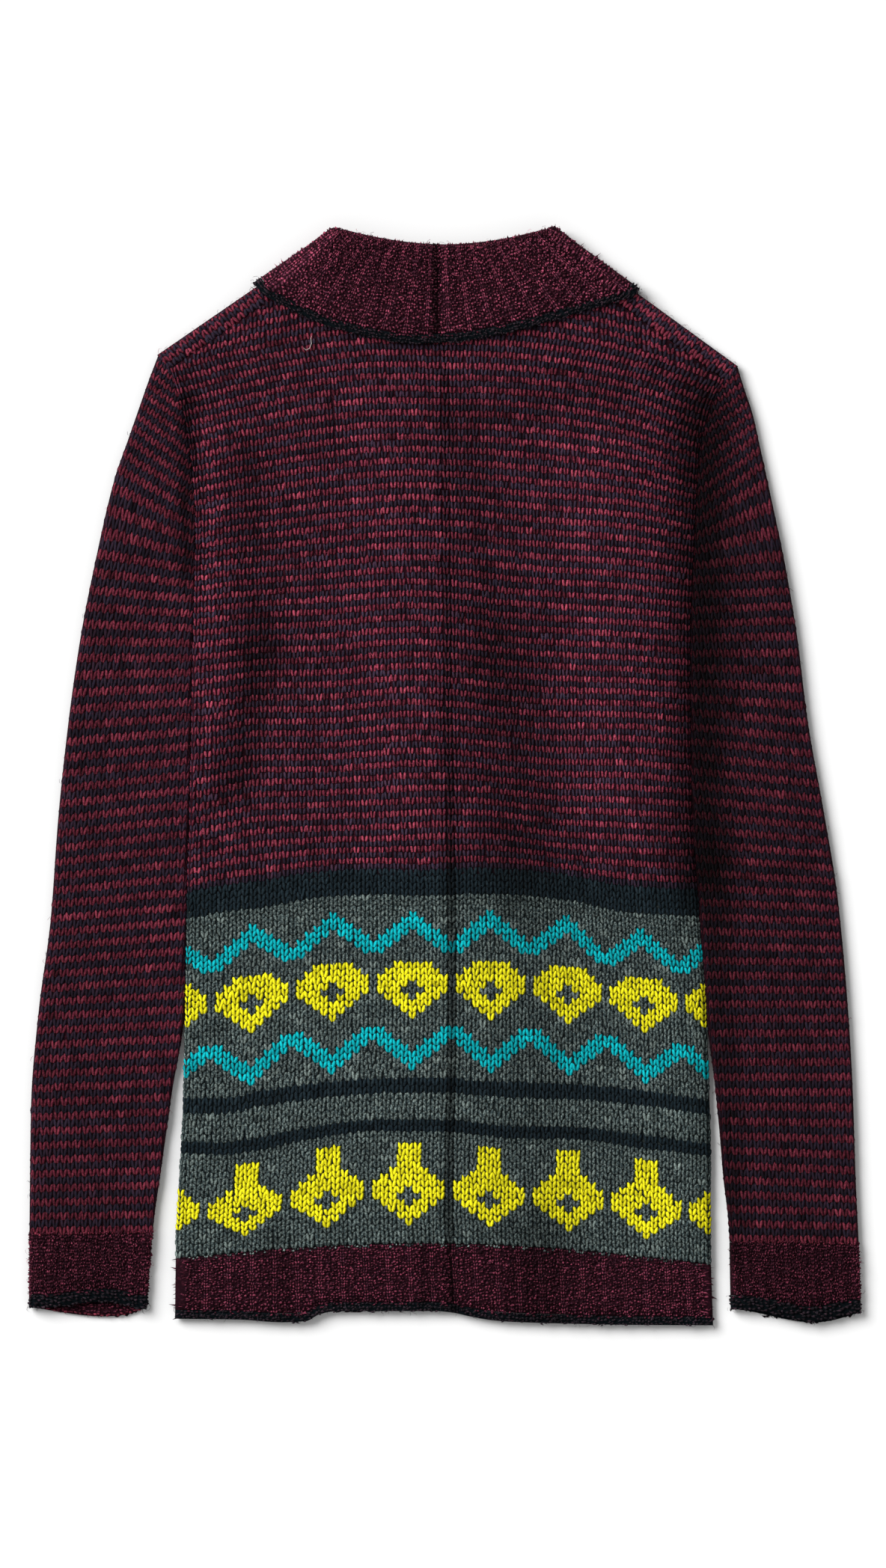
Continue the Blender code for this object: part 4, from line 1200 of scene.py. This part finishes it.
# %% Hem of the back
HEM_RIBS = 24
HEM_ROWS = 20
PURLS = 6  # across the field of purl bumps between two knit columns
HEM_COLUMNS = 97  # points across the shell of the rib
EDGE_COLUMNS = 150
EDGE_SHARE = 0.97  # the edging stops this far up to the rib, which leaves room for the seam


def hem_top(share):
    return rib_line(share) - SEAM / 2


def hem_low(share):
    return hem_line(share) + HEM_EDGE


def back_rows(low, high, columns, shares):
    """Rows of the back at shares of the way from a low line to a high one."""
    return np.array([back_row(between(low, high, w), columns) for w in shares])


hem_edges, hem_knit = rib_columns(HEM_RIBS, PURLS)
hem_knit[0] = False
hem_columns = hem_edges[1:-1]
hem_corners = back_rows(hem_low, hem_top, hem_columns, np.linspace(0, 1, HEM_ROWS + 1))
hem_cells = Cells(hem_corners[:, stitch_starts(hem_columns, False)], 1, FINE_CELL, FINE_CELL)
back_hem_stitches = lay_rib("back_hem_rib", hem_cells, hem_knit, mixed_row=-1)
hem_points = back_rows(hem_low, hem_top, inner_columns(HEM_COLUMNS), np.linspace(0, 1, 6))
back_hem = shell("back_hem_rib_cloth", hem_points, 1, plain("marl"))

edge_columns = inner_columns(EDGE_COLUMNS)
hem_end = back_rows(hem_line, hem_low, edge_columns, np.linspace(0, EDGE_SHARE, 4))
back_edge_stitches = lay_edging("back_hem_edging", hem_end[:, stitch_starts(edge_columns)], 1, 0)
back_edge = shell("back_hem_edge_cloth", hem_end, 1, plain("black"))

# %% [markdown]
# ## Sleeves and cuffs
# A sleeve is a tube pressed flat. Its columns run down it beside the outer fold, and a new one starts at
# the inner seam wherever the sleeve gets wider, so columns are counted from the fold. Near the shoulder the
# rows slope down towards the body, as they do on a dropped sleeve.

# %% Tubes of knitting
SLEEVE_WALE = 4.8
SLEEVE_ROW = 4.9
SLEEVE_TONE = 0.66  # the sleeves' yarns are made this much darker than the back's
HALF_WALES = 26  # wales on each side of the outer fold


def distances(row):
    """Distance of each point of a row from its first point, along the row."""
    return np.concatenate([[0], np.cumsum(np.linalg.norm(np.diff(row, axis=0), axis=1))])


def resampled(row, positions, origin=0):
    """Points of a row at distances along it from the distance origin; those past an end stay on the end."""
    distance = distances(row)
    at = np.clip(origin + positions, 0, distance[-1])
    return np.stack([np.interp(at, distance, row[:, k]) for k in range(3)], axis=1)


def tube_corners(rows, positions):
    """Corners of cells at distances from the outer fold, which is the middle point of a sleeve's row."""
    return np.array([resampled(row, positions, distances(row)[len(row) // 2]) for row in rows])


def flat_corners(rows, positions):
    """Corners of cells at distances from the outer end of each row."""
    return np.array([resampled(row, positions) for row in rows])


def striped(odd):
    """Yarn numbers for stripes: navy where odd, else burgundy."""
    return np.where(odd, number_of("navy"), number_of("burgundy"))


def make_sleeve(side):
    """The shell of a sleeve and its two pieces of knitting."""
    facing = -sign_of(side)
    top_y = edge_y(side, 1)
    count = round((top_y - CUFF_TOP[side]) / SLEEVE_ROW)
    rows = [sleeve_row(side, y) for y in np.linspace(top_y, CUFF_TOP[side], count + 1)]
    corners = tube_corners(rows, SLEEVE_WALE * np.arange(-HALF_WALES, HALF_WALES + 1))
    cells = Cells(corners, facing, SLEEVE_WALE, SLEEVE_ROW)
    cells.along = -cells.along  # it is knitted from the shoulder down, so its stitches point the other way
    from_cuff = np.arange(count)[::-1, None] + np.zeros(cells.columns, int)
    colours = striped(from_cuff % 2 == 1)
    upper = np.broadcast_to(np.arange(cells.columns) < HALF_WALES + 1, cells.kept.shape)
    stitches = [
        lay(f"sleeve_{side}_stitches", cells, colours, KNIT, WOOL, upper, lean=0.06, flecks=0.2,
            tone=SLEEVE_TONE),
        lay(f"sleeve_{side}_underside", cells, colours, SIMPLE, WOOL, ~upper, tone=SLEEVE_TONE, hairs=0.02),
    ]
    shell_rows = [sleeve_row(side, y, 12) for y in np.linspace(top_y, CUFF_TOP[side], count // 2 + 1)]
    return shell(f"sleeve_{side}_cloth", shell_rows, facing, plain("marl")), stitches


sleeves = {side: make_sleeve(side) for side in SHOULDER}

# %% Cuffs
CUFF_RIB = 9
CUFF_RIBS = 20
CUFF_OVERLAP = 2  # the first row of ribbing lies over the end of the sleeve
CUFF_ROWS = 18
CUFF_POINTS = 30  # on the upper layer, and as many on the lower one
CUFF_EDGING_STEP = 2.9
CUFF_EDGING_HALF = 35  # steps on each side of the outer fold
HAIR_GAP = 0.05  # keeps the shells of the cuff and its edging apart
INSIDE_UP = 4.1  # how far the inner face of a cuff's lower layer, with its stitches, is above its outer face
INSIDE_FROM = 6  # points from the fold to where that face can be seen
LOWER_LAYER = 4  # a point lower than this belongs to the lower layer


def cuff_rows(side, ys):
    return [sleeve_row(side, y, CUFF_POINTS, cuff_share(side, y)) for y in ys]


def cuff_lining(rows, facing):
    """The inner face of a cuff's lower layer, in marl with burgundy at the mouth."""
    inside = np.array([row[len(row) // 2 + INSIDE_FROM : -ARC] for row in rows]) + (0, 0, INSIDE_UP)
    cells = Cells(inside, -facing, FINE_CELL, FINE_CELL)
    colours = cells.all_in("marl")
    colours[-1] = number_of("burgundy")
    return lay("cuff_left_lining", cells, colours, PURL, MARL_WOOL, lean=0.35, spread=0.2, flecks=0.3)


def make_cuff(side):
    """The shell of a cuff, its knitting, the shell of its edging, and that cord."""
    facing = -sign_of(side)
    edge_top = CUFF_END + CUFF_EDGE + SEAM / 2
    rows = cuff_rows(side, np.linspace(CUFF_TOP[side] + CUFF_OVERLAP, edge_top, CUFF_ROWS + 1))
    rib_edges, knit = rib_columns(CUFF_RIBS, PURLS)
    corners = tube_corners(rows, (rib_edges - 0.5) * CUFF_RIBS * CUFF_RIB)
    cells = Cells(corners, facing, FINE_CELL, FINE_CELL)
    cells.along = -cells.along
    stitches = lay_rib(f"cuff_{side}_rib", cells, knit, mixed_row=0, mixed="burgundy")
    solid_top = [sleeve_row(side, CUFF_TOP[side] - SEAM / 2, CUFF_POINTS)]
    cloth = shell(f"cuff_{side}_cloth", solid_top + rows[3::3], facing, plain("marl"))
    ends = cuff_rows(side, np.linspace(edge_top - HAIR_GAP, CUFF_END, 5))
    end_corners = tube_corners(ends, CUFF_EDGING_STEP * np.arange(-CUFF_EDGING_HALF, CUFF_EDGING_HALF + 1))
    edging = lay_edging(f"cuff_{side}_edging", end_corners, facing, -1)
    if side == "left":  # its mouth is open, so the inside of the lower layer shows
        stitches.append(cuff_lining([*rows[-6::2], *ends], facing))
    under = number_of("marl" if side == "left" else "black")

    def edge_colour(points):
        return np.where(points[..., 2] < LOWER_LAYER, under, number_of("black"))

    return cloth, stitches, shell(f"cuff_{side}_edge_cloth", ends, facing, edge_colour), [edging]


cuffs = {side: make_cuff(side) for side in SHOULDER}

# %% [markdown]
# ## The fronts
# The fronts lie underneath, edge to edge, and only the strip that comes over each shoulder shows from
# above. They are worked like the back, in the same rows and bands, so the cardigan makes sense from below
# too.

# %% Rows of the fronts
STRIP_START = -1.6  # the strip over the shoulder starts this far outside its tip
TURN_SHARE = 0.1  # last share of a front over which its rows turn to the direction of the shoulder
STRIP_POINTS = 30


def front_ends(side, row):
    """The two ends of a row of a front, from the rib at 0 to the shoulder strip at 1."""
    neck = shoulder_point(side, SHOULDER[side]["neck"], SHOULDER_STRIP)
    y_out, y_in = edge_y(side, row), lerp(RIB_LINE[1], neck[1], row)
    outer_end = np.array([edge_x(side, y_out), y_out])
    inner_end = np.array([sign_of(side) * front_edge_x(side, y_in), y_in])
    tip = shoulder_point(side, SEAM, SHOULDER_STRIP)
    blend = smooth((row - (1 - TURN_SHARE)) / TURN_SHARE)
    return lerp(outer_end, tip, blend), lerp(inner_end, neck, blend)


def strip_rows(side):
    """Rows that go from the front round the shoulder's fold and on to the back."""
    out = shoulder_frame(side)[2]
    ends = [shoulder_point(side, a, 0) for a in (STRIP_START, SHOULDER[side]["neck"])]
    line = front_row(*ends, STRIP_POINTS)[:, :2]
    low, high = front_under(*line.T), back_top(*line.T)

    def beside(inward, height_of):
        plan = line - inward * out
        return np.column_stack([plan, height_of(*plan.T)])

    def round_fold(angle):
        plan = line + FOLD_REACH * math.sin(angle) * out
        return np.column_stack([plan, (low + high) / 2 + (high - low) / 2 * math.cos(angle)])

    return [
        *(beside(inward, front_under) for inward in (SHOULDER_STRIP, SHOULDER_STRIP / 2)),
        *(round_fold(angle) for angle in np.linspace(math.pi, 0, 9)),
        *(beside(inward, back_top) for inward in (SHOULDER_STRIP / 2, SHOULDER_STRIP)),
    ]


# %% Fronts
FRONT_ROWS_TO = 335  # y at the centre where the rows of the fronts end
FRONT_WALES = 35
STRIP_WALES = 24
STRIP_LEAN = 3  # wales after which a stripe of the slanting strip meets the next one
FRONT_POINTS = 62  # rows of points of a front's shell


def front_cells(side):
    """Cells of the flat part of a front, and their yarns."""
    total = len([h for h in HEIGHTS if RIB_LINE[1] + h < FRONT_ROWS_TO])
    rows = [front_row(*front_ends(side, v)) for v in HEIGHTS[:total] / HEIGHTS[total - 1]]
    corners = flat_corners(rows, BODY_WALE * np.arange(FRONT_WALES + 1))
    cells = Cells(corners, sign_of(side), BODY_WALE, STRIPE_ROW)
    return cells, chart_colours(cells.columns)[: total - 1]


def strip_cells(side):
    """Cells of the strip over the shoulder, and their yarns."""
    around = np.array(strip_rows(side))
    distance = distances(around[:, around.shape[1] // 2])
    levels = np.linspace(0, distance[-1], round(distance[-1] / STRIPE_ROW) + 1)
    lines = [[np.interp(levels, distance, line) for line in around[..., k].T] for k in range(3)]
    strip = np.swapaxes(np.stack(lines, -1), 0, 1)
    corners = flat_corners(strip, BODY_WALE * np.arange(STRIP_WALES + 1))
    cells = Cells(corners, sign_of(side), BODY_WALE, STRIPE_ROW)
    sloping = np.arange(cells.rows)[:, None] + np.arange(cells.columns) // STRIP_LEAN
    return cells, striped(sloping % 2 == 1)


def front_colour(points):
    return body_colour_at(points[..., 1] - RIB_LINE[1])


def make_front(side):
    """The shell of a front and its two pieces of knitting."""
    stitches = [
        lay(f"front_{side}_stitches", *front_cells(side), SIMPLE, WOOL, hairs=0.01),
        lay(f"front_{side}_shoulder", *strip_cells(side), KNIT, WOOL, hairs=0.5),
    ]
    shares = np.linspace(0, 1, FRONT_POINTS)[:-1]
    rows = [front_row(*front_ends(side, v), STRIP_POINTS) for v in shares] + strip_rows(side)
    return shell(f"front_{side}_cloth", rows, sign_of(side), front_colour), stitches


fronts = {side: make_front(side) for side in SHOULDER}

# %% Hems of the fronts
FRONT_HEM_SHORT = 2  # the fronts end this much above the back, so they don't show from above
FRONT_HEM_RIBS = 13
FRONT_RIB = 15
FRONT_EDGING_STEP = 4.8
FRONT_EDGING_STEPS = 38
COARSE_CELL = 3


def make_front_hem(side):
    """The shell of a front's rib, its knitting, the shell of its edging, and that cord."""
    sign = sign_of(side)
    shares = np.array([0.0 if side == "left" else 1.0, 0.5])  # at the side edge and at the centre
    rib, hem = rib_line(shares) - SEAM / 2, hem_line(shares) + FRONT_HEM_SHORT

    def rows(low, high, count):
        """Rows from a low y to a high one, each given at the side edge and at the centre."""
        ys = [lerp(low, high, w) for w in np.linspace(0, 1, count)]
        ends = [(np.array([edge_x(side, y[0]), y[0]]), np.array([sign * FRONT_EDGE_X, y[1]])) for y in ys]
        return [front_row(outer, inner, 40) for outer, inner in ends]

    rib_rows = rows(hem + HEM_EDGE, rib, 10)
    rib_edges, knit = rib_columns(FRONT_HEM_RIBS)
    corners = flat_corners(rib_rows, rib_edges * FRONT_HEM_RIBS * FRONT_RIB)
    stitches = lay_rib(f"front_{side}_hem", Cells(corners, sign, COARSE_CELL, COARSE_CELL), knit)
    cloth = shell(f"front_{side}_hem_cloth", rib_rows[::3], sign, plain("marl"))
    ends = rows(hem, hem + (HEM_EDGE - SEAM), 4)
    corners = flat_corners(ends, FRONT_EDGING_STEP * np.arange(FRONT_EDGING_STEPS + 1))
    edging = lay_edging(f"front_{side}_hem_edging", corners, sign, 0)
    edge = shell(f"front_{side}_hem_edge_cloth", ends, sign, plain("black"))
    return cloth, stitches, edge, [edging]


front_hems = {side: make_front_hem(side) for side in SHOULDER}

# %% [markdown]
# ## The collar
# A shawl collar is one long strip. It stands up from the neck seam, rolls over and falls back on the
# shoulders, and its two ends run down the fronts as lapels. A section across it has those three parts, and
# sections are placed up one lapel, round the shoulder, across the back and down again. Its ribs fan out,
# because they are as many at the tight roll as at the long outer edge.

# %% Where the collar runs
def shoulder_marks(side):
    """Where neck seam, roll and edge cross a shoulder: on its fold, inside it, and the roll above."""
    facts = SHOULDER[side]
    along = (facts["neck"] + 2 * SEAM, facts["roll"], facts["edge"])
    on_fold = [shoulder_point(side, a, 0) for a in along]
    inside = [shoulder_point(side, a, SHOULDER_STRIP) for a in along[:2]]
    top_along, top_out = facts["roll_top"]
    return on_fold, inside, shoulder_point(side, top_along, -top_out)


def lapel_stations(side, count):
    """Stations up a lapel: points of the neck seam, the roll and the edge, a turn, and the way out."""
    sign, out = sign_of(side), shoulder_frame(side)[2]
    _, inside, _ = shoulder_marks(side)
    rows = [(sign * n, ny, sign * r, ry, sign * e, ey) for n, ny, r, ry, e, ey in LAPEL]
    rows.append((*inside[0], *inside[1], *SHOULDER[side]["front_edge"]))
    keyed = [(i, *row) for i, row in enumerate(rows)]
    stations = []
    for at in np.linspace(0, len(rows) - 1, count):
        neck, roll, edge = np.array([read(keyed, c, at) for c in range(1, 7)], float).reshape(3, 2)
        neck[0] = sign * (front_edge_x(side, neck[1]) - 2 * SEAM)
        stations.append((neck, roll, edge, math.pi, out))
    return stations


def fold_stations(side, count):
    """Stations round the fold of a shoulder, from below to above."""
    out = shoulder_frame(side)[2]
    (neck, roll, edge), _, top = shoulder_marks(side)
    angles = np.linspace(math.pi, 0, count)
    return [(neck, lerp(roll, top, smooth(1 - 2 * a / math.pi)), edge, a, out) for a in angles]


def back_stations(shares):
    """Stations across the back of the neck."""
    out = shoulder_frame("left")[2]
    ends = {}
    for side in SHOULDER:
        _, inside, top = shoulder_marks(side)
        ends[side] = inside[0], top, np.array(SHOULDER[side]["back_edge"])
    curves = (NECKLINE[0] + 2 * SEAM, NECKLINE[1]), ROLL_LINE
    stations = []
    for share in shares:
        neck_x, roll_x, edge_at = (lerp(a[0], b[0], share) for a, b in zip(ends["left"], ends["right"]))
        nearest = ends["left" if neck_x < 0 else "right"]
        neck = np.array([neck_x, power_curve(neck_x, curves[0], nearest[0])])
        roll = np.array([roll_x, power_curve(roll_x, curves[1], nearest[1])])
        edge = np.array([edge_at, float(read(COLLAR_EDGE, 1, edge_at))])
        stations.append((neck, roll, edge, 0.0, out))
    return stations


# %% Sections of the collar
COLLAR_PUFF = 2.0  # how much wider the roll is on the back, where nothing presses on it
PUFF_END = 0.45  # share of the fall over which the roll's width goes back to nothing
TRIM_START, TRIM_END = 0.2, 6  # how far outside the collar's edge its edging starts and ends
STAND_POINTS, ROLL_POINTS, FALL_POINTS, TRIM_POINTS = 7, 11, 12, 4


def on_collar(plan, lift, angle, out):
    """A point lifted off the body's outer face: above the back, below the fronts, out at the shoulder."""
    x, y = plan
    low, high = float(front_under(x, y)), float(back_top(x, y))
    half = (high - low) / 2 + lift
    moved = np.array([x, y]) + (FOLD_REACH + lift) * math.sin(angle) * out
    return np.array([moved[0], moved[1], (low + high) / 2 + half * math.cos(angle)])


def collar_section(station, crease=0.0):
    """Outer points from the neck seam up the stand, over the roll and down the fall to the edge."""
    neck, roll, edge, angle, out = station
    puff = COLLAR_PUFF * max(0.0, math.cos(angle))
    radius = (WALL + LAYER + puff) / 2
    stand = (roll - neck) / np.linalg.norm(roll - neck)
    places = [(lerp(neck, roll, s), -WALL) for s in np.linspace(0, 1, STAND_POINTS)]
    for turn in np.linspace(0, math.pi, ROLL_POINTS)[1:-1]:
        plan = roll + radius * math.sin(turn) * stand
        places.append((plan, (LAYER + puff - WALL) / 2 - radius * math.cos(turn)))
    for s in np.linspace(0, 1, FALL_POINTS):
        places.append((lerp(roll, edge, s), LAYER + puff * (1 - smooth(s / PUFF_END)) - crease))
    return np.array([on_collar(plan, lift, angle, out) for plan, lift in places])


def trim_section(station):
    """Outer points of the edging, straight on from the fall."""
    _, roll, edge, angle, out = station
    fall = (edge - roll) / np.linalg.norm(edge - roll)
    beyond = np.linspace(TRIM_START, TRIM_END, TRIM_POINTS)
    return [on_collar(edge + distance * fall, LAYER, angle, out) for distance in beyond]


# %% The whole strip
COLLAR_RIBS = 16
LAPEL_COUNT = 60  # sections up a lapel
FOLD_COUNT = 9  # and round a shoulder
COLLAR_CREASE = 1.4
CREASE_AT = 0.47  # share of the way across the back where the collar was folded
CREASE_STATIONS = 4  # sections over which that crease fades

rib_shares, rib_knit = rib_columns(COLLAR_RIBS, PURLS)
left_stations = lapel_stations("left", LAPEL_COUNT) + fold_stations("left", FOLD_COUNT)[1:]
right_stations = fold_stations("right", FOLD_COUNT)[::-1][:-1] + lapel_stations("right", LAPEL_COUNT)[::-1]
across_stations = back_stations(rib_shares)[1:-1]
stations = left_stations + across_stations + right_stations
crease_at = len(left_stations) + round(CREASE_AT * len(across_stations))
away = np.abs(np.arange(len(stations)) - crease_at) / CREASE_STATIONS
creases = COLLAR_CREASE * np.maximum(0.0, 1 - away)
sections = np.array([collar_section(s, c) for s, c in zip(stations, creases)])
print("collar sections:", sections.shape)

# %% The collar's stitches and edging
COLLAR_ROW = 2.4
COLLAR_CELL = 1.6
COLLAR_TONE = 1.27  # the collar's yarn is made this much lighter, so it is the lightest piece
LAPEL_RIB = 3  # columns of a rib on a lapel, which is seen from the side only

section_lengths = np.linalg.norm(np.diff(sections, axis=1), axis=2).sum(axis=1)
across_lengths = section_lengths[len(left_stations) : -len(right_stations)]
collar_rows = round(float(np.median(across_lengths)) / COLLAR_ROW)
from_edge = -COLLAR_ROW * np.arange(collar_rows + 1)[::-1]
collar_corners = np.array([resampled(s, from_edge, length) for s, length in zip(sections, section_lengths)])
collar_cells = Cells(np.swapaxes(collar_corners, 0, 1), -1, COLLAR_CELL, COLLAR_ROW)

across_from = len(left_stations) - 1
across_to = across_from + len(rib_knit)
left_knit = np.arange(across_from) % LAPEL_RIB == 0
right_knit = np.arange(collar_cells.columns - across_to) % LAPEL_RIB == 0
knit_columns = np.concatenate([left_knit, rib_knit, right_knit])
collar_stitches = lay_rib("collar_rib", collar_cells, knit_columns, tone=COLLAR_TONE)
collar = shell("collar_cloth", sections, 1, plain("marl"))
trim = np.array([trim_section(s) for s in stations])
collar_edging = lay_edging("collar_edging", np.swapaxes(trim, 0, 1), -1, -1)
collar_edge = shell("collar_edge_cloth", trim, 1, plain("black"))

# %% [markdown]
# ## A loose thread
# A pale thread lies on the left shoulder, curled the way a snipped end of yarn curls. It is one more bead,
# drawn through listed points just above the back.

# %% A loose thread
# x, y and how far above the back.
THREAD = (
    (-95.2, 287.2, 0.2), (-92.8, 285, 0.8), (-90.4, 286.2, 1.1), (-89.2, 289.4, 0.9), (-89.6, 293, 1.3),
    (-88.4, 295.6, 1.6),
)
thread_path = [np.array((x, y, float(back_top(x, y)) + lift)) * MM for x, y, lift in THREAD]
thread_width = [width * MM for width in (0.17, 0.2, 0.2, 0.17)]
thread = template("loose_thread", [(thread_path, thread_width, thread_width)])
thread.data.materials.append(CLOTH)
write_yarns(thread.data, np.tile(shade("c9c2bd"), (len(thread.data.vertices), 2)))
bpy.context.scene.collection.objects.link(thread)

# %% [markdown]
# ## Every piece finds its place
# Each shell stands for its solid and carries its stitches. It goes into the scene with them and with the
# loose fibres grown on them, and the solid that it stands for is hidden.

# %% Putting the pieces in place
def hand_in(cloth, node, extras):
    """Grows fibres on a shell's stitches, attaches the shell, its stitches and the fibres to the root, and
    hides the node's solid.
    """
    hairy = [piece.name for piece in extras if piece.name in HAIRS]
    extras = [*extras, grow_fibres(cloth.name.replace("_cloth", "_fibres"), hairy)]
    for piece in [cloth, *extras]:
        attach(piece, "root")
    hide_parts(node)


hand_in(back, "back",
        [back_bands, back_low, back_high, thread])
hand_in(back_hem, "back_hem_rib",
        back_hem_stitches)
hand_in(back_edge, "back_hem_edge",
        [back_edge_stitches])
for side in SHOULDER:
    cloth, stitches = sleeves[side]
    hand_in(cloth, f"sleeve_{side}", stitches)
    cloth, stitches, edge, edging = cuffs[side]
    hand_in(cloth, f"cuff_{side}", stitches)
    hand_in(edge, f"cuff_{side}_edge", edging)
    cloth, stitches = fronts[side]
    hand_in(cloth, f"front_{side}", stitches)
    cloth, stitches, edge, edging = front_hems[side]
    hand_in(cloth, f"front_{side}_hem_rib", stitches)
    hand_in(edge, f"front_{side}_hem_edge", edging)
hand_in(collar, "collar", collar_stitches)
hand_in(collar_edge, "collar_edge", [collar_edging])
for spent in (KNIT, UPRIGHT, PURL, FINE, SIMPLE, FIBRE):
    bpy.data.objects.remove(spent)

# %% Sizes, and the end
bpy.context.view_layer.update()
shown = [o for o in bpy.context.scene.objects if o.type == "MESH" and not o.hide_render]
print("triangles shown:", sum(triangles_of(o.data) for o in shown))
